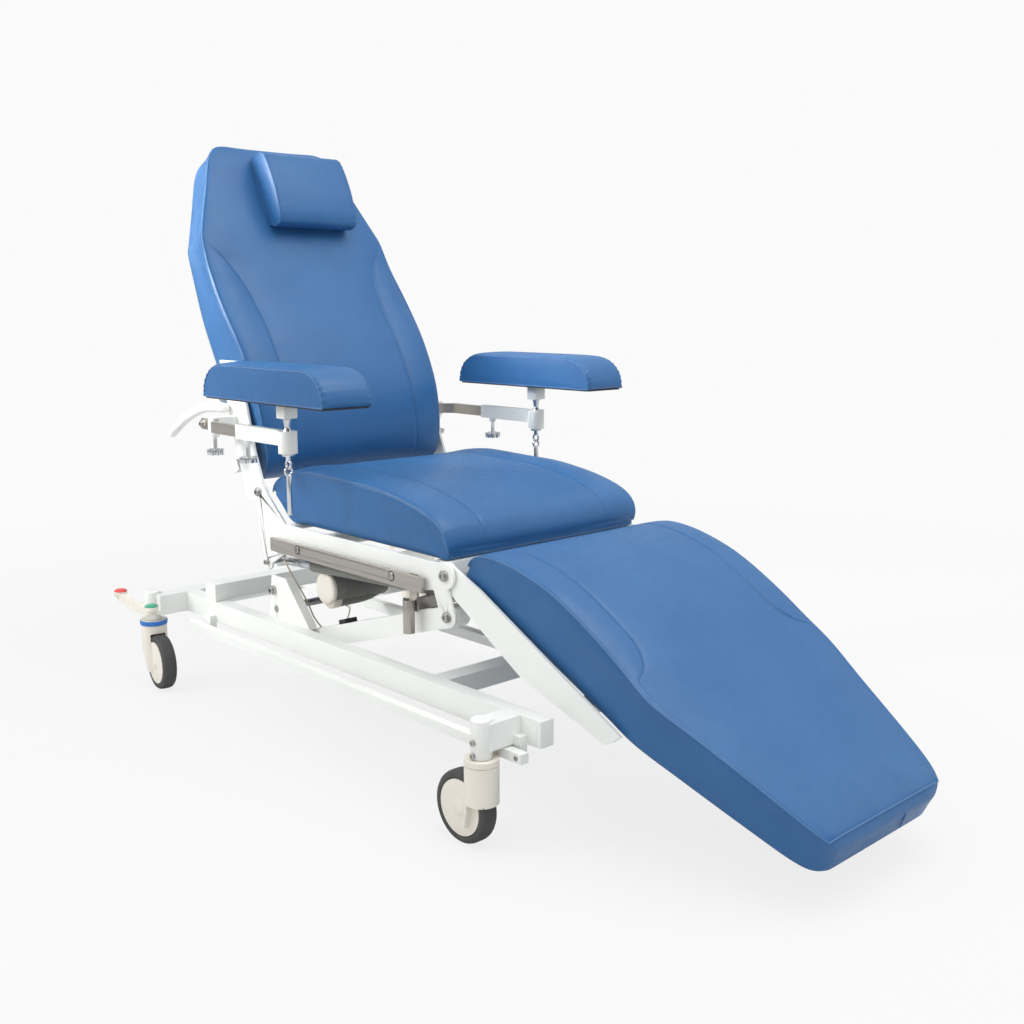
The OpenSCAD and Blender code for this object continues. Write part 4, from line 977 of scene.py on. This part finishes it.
def bolster(name, node, body, loop, place, half, crown, bulge, flat, shoulder=2.5, tuck_depth=0.9):
    """A bolster from an outline in millimetres. place turns (x, outline point) into a point.

    flat tells where the outline lies on its board: no point there is crowned, tucked or filled out.
    """
    loop = even_loop(loop, LOOP_SPACING)
    normals = outline_normals(loop)
    lift = np.array([0.0 if flat(p) else 1.0 for p in loop])
    centre = loop.mean(axis=0)
    rng = np.random.default_rng(len(name))
    wave = np.sin(np.arange(len(loop)) * 1.9 + np.cumsum(rng.normal(0, 0.3, len(loop))))
    bend = np.linalg.norm(np.roll(loop, -1, axis=0) - 2 * loop + np.roll(loop, 1, axis=0), axis=1)
    bend = np.convolve(np.concatenate([bend[-5:], bend, bend[:5]]), np.ones(11) / 11, "same")[5:-5]
    bend = np.clip(bend / 0.2, 0.06, 1) * lift
    tucks = tuck_depth * wave * bend

    def side_ring(f, s):
        pulled = loop - normals * shoulder * lift[:, None]
        folds = normals * tucks[:, None] * max(0.0, (f - 0.6) / 0.4)
        return s * (half + bulge * (1 - f ** 3)), centre + (pulled - centre) * f + folds

    def strip_ring(a):
        out = min(max(0.0, (1 - abs(a)) * half / (2.2 * shoulder)), 1.0)
        grow = (crown * (1 - abs(a) ** 2.6) - shoulder * (1 - math.sqrt(1 - (1 - out) ** 2))) * lift
        tuck = tucks * max(0.0, (abs(a) - 0.7) / 0.3) ** 2
        return a * half, loop + normals * (grow + tuck)[:, None]

    rings = [side_ring(f, -1) for f in SIDE_PANEL]
    rings += [strip_ring(a) for a in (*STRIP_STEPS, *[-a for a in STRIP_STEPS[-2::-1]])]
    rings += [side_ring(f, 1) for f in SIDE_PANEL[::-1]]
    n = len(loop)
    solid = [np.array([place(x, p) for p in ring]) for x, ring in rings]
    obj = piece(name, *skin(solid), blue_vinyl, body, slots[node])
    seam_rings = (len(SIDE_PANEL), len(rings) - 1 - len(SIDE_PANEL))
    first, last = seam_rings
    pinned = [j * n + i for j in range(len(rings)) for i in range(n)
              if lift[i] == 0.0 or not first < j < last]
    fill_out(obj, sorted(set(pinned)), BOLSTER_PRESSURE, BOLSTER_CAP)
    co, co_normals = vertex_table(obj)
    for k, j in enumerate(seam_rings):
        ids = [j * n + i for i in range(n)]
        path = np.vstack([co[ids], co[ids[:2]]])
        tube(f"{name}_welt_{k}", path, BOLSTER_WELT_R, thread, body, slots[node], 8, False)
        ids = [(j + (2 if k == 0 else -2)) * n + i for i in range(n)]
        raised = co[ids] + co_normals[ids] * BOLSTER_STITCH_LIFT
        stitches(f"{name}_stitches_{k}", raised, co_normals[ids], body)
    subdivide(obj)
    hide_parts(node)
    print(name, len(obj.data.vertices), "vertices")


print("bolster helper ready")

# %% [markdown]
# #### Pillow
# The pillow hangs on the top of the back, a little to the occupant's left. Its rear lies flat on the back's
# cover and its front is fullest in the middle.

# %% Head pillow
PILLOW_U, PILLOW_H, PILLOW_THICK, PILLOW_LEN, PILLOW_X = 575, 190, 62, 220, 40
PILLOW_BACK = 0.98 * BACK_THICK
PILLOW_SHARES = [(0, 0.66, 0.52), (0.02, 0.8, 0.3), (0.12, 0.93, 0), (0.3, 1, 0), (0.45, 1.02, 0),
                 (0.7, 0.96, 0), (0.87, 0.84, 0), (0.94, 0.68, 0), (0.985, 0.4, 0.02), (1, 0.2, 0.06)]
FRONT_LEAN, REAR_LEAN = 12, 6
fronts = spline([(PILLOW_U + u * PILLOW_H, PILLOW_BACK + f * PILLOW_THICK + FRONT_LEAN * u)
                 for u, f, r in PILLOW_SHARES], 6)
rears = [(PILLOW_U + u * PILLOW_H, PILLOW_BACK + r * PILLOW_THICK + REAR_LEAN * u)
         for u, f, r in PILLOW_SHARES]
pillow_loop = np.vstack([fronts, np.array(rears)[::-1]])


def on_back_at(x, p):
    y, z = on_back(p[0], p[1])
    return at(x + PILLOW_X, y, z)


bolster("pillow_cover", "head_pillow", "pillow", pillow_loop, on_back_at, PILLOW_LEN / 2 - 4, 0.5, 3,
        flat=lambda p: p[1] < PILLOW_BACK + 8)

# %% [markdown]
# #### Arm pads
# An arm pad is half round in section along its length, and it is stapled to a thin dark board. The board has
# round corners, because a sharp one would cut the cover.

# %% Arm pads
PAD_X, PAD_W, PAD_LEN, PAD_Z, PAD_H, PAD_FRONT, PAD_NOSE = 343, 113, 437, 680, 72, -314, 72
BOARD_T = 4
BOARD_LAP = 0.6
BOARD_CORNER = 8


def pad_outline():
    """The D-shaped side of an arm pad, with its flat underside on the board."""
    low = PAD_Z + BOARD_T
    foot, high = PAD_Z + 0.15 * PAD_H, 0.85 * PAD_H
    last = PAD_FRONT + PAD_LEN
    arc = np.linspace(0, math.pi / 2, 9)
    front = [(PAD_FRONT + PAD_NOSE * (1 - math.cos(a)), foot + high * math.sin(a)) for a in arc]
    rear = [(last - PAD_NOSE * (1 - math.cos(a)), foot + high * math.sin(a)) for a in arc[::-1]]
    return np.array([(PAD_FRONT + 3, low)] + front + rear + [(last - 3, low)])


def rounded_plate(name, lo, hi, radius, material, body, slot):
    """A flat plate with round corners in plan, made of four stacked outlines with a small edge radius."""
    ring = []
    inner_lo = (lo[0] + radius, lo[1] + radius)
    inner_hi = (hi[0] - radius, hi[1] - radius)
    corners = ((inner_hi[0], inner_hi[1], 0), (inner_lo[0], inner_hi[1], 90),
               (inner_lo[0], inner_lo[1], 180), (inner_hi[0], inner_lo[1], 270))
    for cx, cy, start in corners:
        for a in range(0, 91, 15):
            t = math.radians(start + a)
            ring.append((cx + radius * math.cos(t), cy + radius * math.sin(t)))
    ring = np.array(ring)
    mid = ring.mean(axis=0)
    soft = min(1.0, (hi[2] - lo[2]) / 3)
    rings = []
    for z, pull in ((lo[2], soft), (lo[2] + soft, 0), (hi[2] - soft, 0), (hi[2], soft)):
        far = np.linalg.norm(mid - ring, axis=1, keepdims=True)
        pulled = ring + (mid - ring) / np.maximum(far, 1) * pull
        rings.append(np.array([at(x, y, z) for x, y in pulled]))
    obj = piece(name, *skin(rings), material, body, slot)
    edge = obj.modifiers.new("corners", "EDGE_SPLIT")
    edge.split_angle = math.radians(50)


for side, s in SIDES:
    bolster(f"arm_pad_cover_{side}", f"arm_pad_{side}", f"arm_pad_{side}", pad_outline(),
            lambda x, p, s=s: at(s * PAD_X + x, p[0], p[1]), PAD_W / 2 - 2, 1.2, 1.5,
            flat=lambda p: p[1] < PAD_Z + BOARD_T + 1, shoulder=5, tuck_depth=1.5)
    rounded_plate(f"arm_pad_board_{side}", (s * PAD_X - PAD_W / 2 + 3, PAD_FRONT + 5, PAD_Z),
                  (s * PAD_X + PAD_W / 2 - 3, PAD_FRONT + PAD_LEN - 5, PAD_Z + BOARD_T + BOARD_LAP),
                  BOARD_CORNER, dark_board, f"arm_pad_{side}", "black_rubber")
print("arm pads on their boards")

# %% [markdown]
# ## Fittings
# Socket screws are the most common small part. The head is turned, and its six-sided recess is a ring of
# points that follows a hexagon. One helper makes them all.


# %% Socket screws
def hexagon(angle, flat):
    """Distance to the side of a hexagon of that half width, at an angle."""
    turn = (angle + math.pi / 6) % (math.pi / 3) - math.pi / 6
    return flat / math.cos(turn)


RECESS_FLOOR = 0.35
RECESS_SHARE = 0.5


def screw(name, centre, axis, radius, height, body, washer=True):
    axis = unit(np.asarray(axis, float))
    side = unit(np.cross(axis, [0, 0, 1] if abs(axis[2]) < 0.8 else [0, 1, 0]))
    other = np.cross(axis, side)
    turns = np.linspace(0, 2 * math.pi, 36, endpoint=False)
    chamfer = radius * 0.12
    steps = [(radius, 0), (radius, height - chamfer), (radius - chamfer, height)]
    if washer:
        steps = [(radius * 1.35, 0), (radius * 1.35, height * 0.18), (radius, height * 0.22)] + steps[1:]
    rays = [side * math.cos(a) + other * math.sin(a) for a in turns]
    rings = [[centre + axis * h + r * ray for ray in rays] for r, h in steps]
    for h in (height, height * RECESS_FLOOR):
        rings.append([centre + axis * h + hexagon(a, radius * RECESS_SHARE) * ray
                      for a, ray in zip(turns, rays)])
    points, faces = skin([np.array(r) for r in rings])
    obj = piece(name, points, faces, FINISHES["zinc_steel"], body, "zinc_steel")
    edge = obj.modifiers.new("edges", "EDGE_SPLIT")
    edge.split_angle = math.radians(35)


print("screw helper ready")

# %% [markdown]
# #### Where the screws sit
# Each row names a screw, the face it sits on, its height and reach, its head's radius and height, and the
# body that carries it. A table of rows is easier to check against the real chair than a call for each one.

# %% Screws on both sides
SEAT_FACE = 274
RAIL_FACE, RAIL_Z, RAIL_SCREWS = 284, 368.4, (-352, -32)
# A dark ring round a rail screw: painted shade in its countersunk hole.
RAIL_SHADE_RING = [(7.6, -0.2), (8.6, 0.5), (9.6, 0.5), (10.0, -0.2)]
SCREWS = (
    ("hinge_screw", (SEAT_FACE, 136, 469), 8, 3.5, "seat", False),
    ("knee_screw", (SEAT_FACE, -490, 390), 8, 3.5, "seat", False),
    ("lift_screw", (SEAT_FACE, -497.28, 315.03), 8, 3.5, "seat", False),
    ("tower_screw", (288, 66, 266), 7.5, 6, "base", True),
    ("back_screw", (262, 272, 728), 7, 6, "back", True),
    ("bar_screw", (321.5, 278, 609), 6, 4, "slide_bar_{}", False),
    ("foot_bar_screw", (349.9, -763, 149.5), 4.6, 1.4, "foot_bar_{}", False))
for side, s in SIDES:
    for label, (x, y, z), radius, height, body, washer in SCREWS:
        screw(f"{label}_{side}", at(s * x, y, z), (s, 0, 0), radius * MM, height * MM, body.format(side),
              washer)
    # Each rail screw gets a black ring, which is painted shade of its countersunk hole and not a part of the
    # chair.
    for k, y in enumerate(RAIL_SCREWS):
        turned(f"rail_screw_shade_ring_{side}_{k}", in_mm(RAIL_SHADE_RING), at(s * RAIL_FACE, y, RAIL_Z), (s, 0, 0),
               FINISHES["black_rubber"], "seat", "zinc_steel", 40, True)
        screw(f"rail_screw_{side}_{k}", at(s * (RAIL_FACE - 0.4), y, RAIL_Z), (s, 0, 0), 7.4 * MM, 2.4 * MM,
              "seat", False)
    for k, z in enumerate((152, 174)):
        screw(f"socket_screw_{side}_{k}", at(s * 399.6, CASTOR_FRONT_Y, z), (s, 0, 0), 5.2 * MM, 2.2 * MM,
              "base", False)
screw("lobe_screw", at(-SEAT_FACE, 110, 318), (-1, 0, 0), 6 * MM, 3 * MM, "seat", False)
print("screws in place")

# %% [markdown]
# ### Castors
# Each castor has an ivory housing and two covers inside the tyre's ring. The tyre is grey rubber with round
# shoulders. A torus would do for a tyre, but its shoulders would be too round, so its section is drawn
# and turned on a lathe. Every one is a closed ring, because the covers fill its middle.

# %% Castor shapes
WHEEL_R, WHEEL_W, TRAIL, TRACK_HALF = 62.5, 32, 39, 380
CASTORS = (("front", CASTOR_FRONT_Y, 180), ("rear", CASTOR_REAR_Y, -7))
TYRE = [(49.2, -13.5), (50.2, -15.4), (52.5, -16), (56, -15.8), (59.2, -14.6), (61.3, -12), (62.3, -8.5),
        (62.5, -5), (62.5, 5), (62.3, 8.5), (61.3, 12), (59.2, 14.6), (56, 15.8), (52.5, 16), (50.2, 15.4),
        (49.2, 13.5)]
CORE = [(6.2, -7), (49.2, -7), (49.2, 7), (6.2, 7)]
COVER = [(0.5, 2.4), (7, 2.3), (9, 1.9), (9.6, 1.2), (20, 1.1), (38, 0.8), (44, 0.3), (46.6, -0.6),
         (47.6, -2.2)]
HOUSING_R, HOUSING_TOP = 29, 157
BRAKE_RING = [(HOUSING_R - 1, -11.6), (HOUSING_R + 1.4, -11.2), (HOUSING_R + 1.9, -9.8),
              (HOUSING_R + 1.9, -2.4), (HOUSING_R + 1.2, -0.8), (HOUSING_R - 1, -0.4)]
print("castor sections", len(TYRE), len(CORE), len(COVER))


# %% Castors
for end, y, turn in CASTORS:
    for side, s in SIDES:
        angle = math.radians(turn if s < 0 else -turn)
        axle = np.array([math.cos(angle), math.sin(angle), 0])
        behind = np.array([math.sin(angle), -math.cos(angle), 0])
        pivot = at(s * TRACK_HALF, y, -CHAIR_Z)
        hub = pivot + behind * TRAIL * MM + np.array([0, 0, WHEEL_R * MM])
        label, wheel, swivel = f"{end}_{side}", f"wheel_{end}_{side}", f"castor_{end}_{side}"
        tyre = turned(f"tyre_{label}", in_mm(TYRE), hub, axle, FINISHES["tyre_rubber"], wheel, "tyre_rubber",
                      72, True)
        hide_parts(f"castor_wheel_{label}")
        turned(f"wheel_core_{label}", in_mm(CORE), hub, axle, FINISHES["grey_plastic"], wheel, "grey_plastic",
               48, True)
        for k, out in enumerate((-1, 1)):
            face = hub + axle * out * (WHEEL_W / 2 - 0.5) * MM
            turned(f"wheel_cover_{label}_{k}", in_mm(COVER), face, axle * out, FINISHES["ivory_plastic"],
                   swivel, "ivory_plastic", 72)
        if end == "rear":
            top = pivot + np.array([0, 0, HOUSING_TOP * MM])
            turned(f"brake_ring_{side}", in_mm(BRAKE_RING), top, (0, 0, 1), blue_ring, swivel,
                   "ivory_plastic", 64, True)
print("castors dressed")

# %% [markdown]
# ### Brake pedals
# A brake pedal rocks between brake and free. A red cap on one end and a green cap on the other tell the two
# apart. Each cap is a low turned dome pressed on the pad.

# %% Pedal caps
PEDAL_X, PAD_THICK = 407, 11
DOME = [(0.5, 5.2), (7, 4.9), (11.5, 3.7), (14.2, 1.8), (15.2, -0.4)]
for side, s in SIDES:
    for label, y, z, finish in (("red", 553.1, 185, red_cap), ("green", 394.1, 178, green_cap)):
        turned(f"pedal_cap_{label}_{side}", in_mm(DOME), at(s * PEDAL_X, y, z + PAD_THICK), (0, 0, 1), finish,
               f"brake_pedal_{side}", "ivory_plastic", 40)
print("pedal caps in place")

# %% [markdown]
# ### Arm supports
# The pad stands on a white block with a chrome taper pin, which drops into the arm tube's socket. The pin is
# turned, so its taper and its neck come out of one profile, and the block is a plate with round corners.

# %% Arm supports
POST_X, POST_Y = 338, -97
BLOCK_X, BLOCK_Y, BLOCK_LOW, BLOCK_TOP, BLOCK_CORNER = 16, 15.5, 649, 679.5, 4
PIN = [(7.9, 583), (7.9, 626), (7.0, 627), (5.6, 629), (5.9, 633), (7.9, 646), (8.2, 650)]
for side, s in SIDES:
    x = s * POST_X
    post = turned(f"taper_pin_{side}", in_mm(PIN), at(x, POST_Y, 0), (0, 0, 1), FINISHES["chrome_plate"],
                  f"arm_post_{side}", "chrome_plate", 40)
    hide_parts(f"arm_post_{side}")
    rounded_plate(f"pad_block_{side}", (x - BLOCK_X, POST_Y - BLOCK_Y, BLOCK_LOW),
                  (x + BLOCK_X, POST_Y + BLOCK_Y, BLOCK_TOP), BLOCK_CORNER, FINISHES["white_paint"],
                  f"arm_post_{side}", "white_paint")
print("arm supports in place")

# %% [markdown]
# ### Push handles
# A push handle is one round tube, bent down behind the back and closed by a round end. A curve object with a
# bevel would do. The tube helper makes a plain mesh at once, with its ends rounded.

# %% Handles
HANDLE_X, HANDLE_Y, HANDLE_Z, HANDLE_R = 273, 262, 642, 0.011
HANDLE_RUN = (0, 38, 83, 121, 168, 213, 250)
HANDLE_DROP = (0, 0, -4, -13, -30, -52, -74)
for side, s in SIDES:
    bends = [at(s * HANDLE_X, HANDLE_Y + a, HANDLE_Z + b) for a, b in zip(HANDLE_RUN, HANDLE_DROP)]
    handle = tube(f"push_handle_{side}", spline(bends, 5), HANDLE_R, FINISHES["white_paint"], "back",
                  "white_paint", 24)
    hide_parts("push_handles")
print("handles in place")

# %% [markdown]
# ### Leg motor
# The leg motor has an ivory end cap, three thin bands and a smaller gear housing below it. All of them are
# round about a cross axis, so each is one turned profile, and the long body stays the CAD mesh.

# %% Leg motor
MOTOR = (-60, 283)
MOTOR_END, GEAR_END = -236, -233
GEAR = at(GEAR_END, MOTOR[0] - 6, MOTOR[1] - 24)
END_CAP = [(0.5, 4.2), (22, 4.0), (29, 3.2), (32, 1.6), (33, 0), (33.6, -0.5), (33.6, -7), (33, -7.5)]
GEAR_CAP = [(0.5, 0), (15, -0.2), (17.4, -1.2), (18.6, -3), (18.6, -21), (18, -22)]
GEAR_BODY = [(17.6, -21), (17.9, -24), (17.9, -58), (17.2, -84), (14.8, -106), (10, -122), (4, -129),
             (0.5, -130)]
BAND = [(32.8, -1.4), (33.7, -0.9), (33.7, 0.9), (32.8, 1.4)]
turned("motor_end_cap", in_mm(END_CAP), at(MOTOR_END, *MOTOR), (-1, 0, 0), FINISHES["ivory_plastic"],
       "leg_motor", "ivory_plastic", 64)
# The gear body's grey finish carries painted shade from the rail above it.
for label, profile, slot in (("cap", GEAR_CAP, "ivory_plastic"), ("body", GEAR_BODY, "grey_plastic")):
    turned(f"motor_gear_{label}", in_mm(profile), GEAR, (-1, 0, 0), FINISHES[slot], "leg_motor", slot, 56)
for k, x in enumerate((-205, -150, -112)):
    turned(f"motor_band_{k}", in_mm(BAND), at(x, *MOTOR), (1, 0, 0), FINISHES["grey_plastic"], "leg_motor",
           "grey_plastic", 64, True)
print("motor dressed")

# %% [markdown]
# ### Motor cable
# The motor's cable is a thin beige sheath. It comes down from the frame, hangs in a loop and rises to the
# motor. It is short and keeps its shape, so a smooth tube through a row of points is enough.

# %% Motor cable
CABLE_R = 0.0016
CABLE = [(-261.4, 60, 342), (-259, 56, 326), (-250, 48, 300), (-238, 36, 268), (-229, 20, 236),
         (-226, 0, 206), (-225, -36, 186), (-225, -70, 183), (-225, -95, 192), (-226, -112, 210),
         (-226, -122, 230), (-222, -124, 243), (-213, -112, 249), (-205, -90, 247), (-200, -67, 248)]
cable_path = spline([at(*p) for p in CABLE], 6)
cable = tube("motor_cable_sheath", cable_path, CABLE_R, FINISHES["cable_sheath"], "seat", "cable_sheath", 12)
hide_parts("motor_cable")
print("cable of", round(float(np.linalg.norm(np.diff(cable_path, axis=0), axis=1).sum()) / MM), "mm")

# %% [markdown]
# ## Closing
# The view transform is Standard, so a colour renders about as written.

# %% Close
bpy.context.scene.view_settings.view_transform = "Standard"
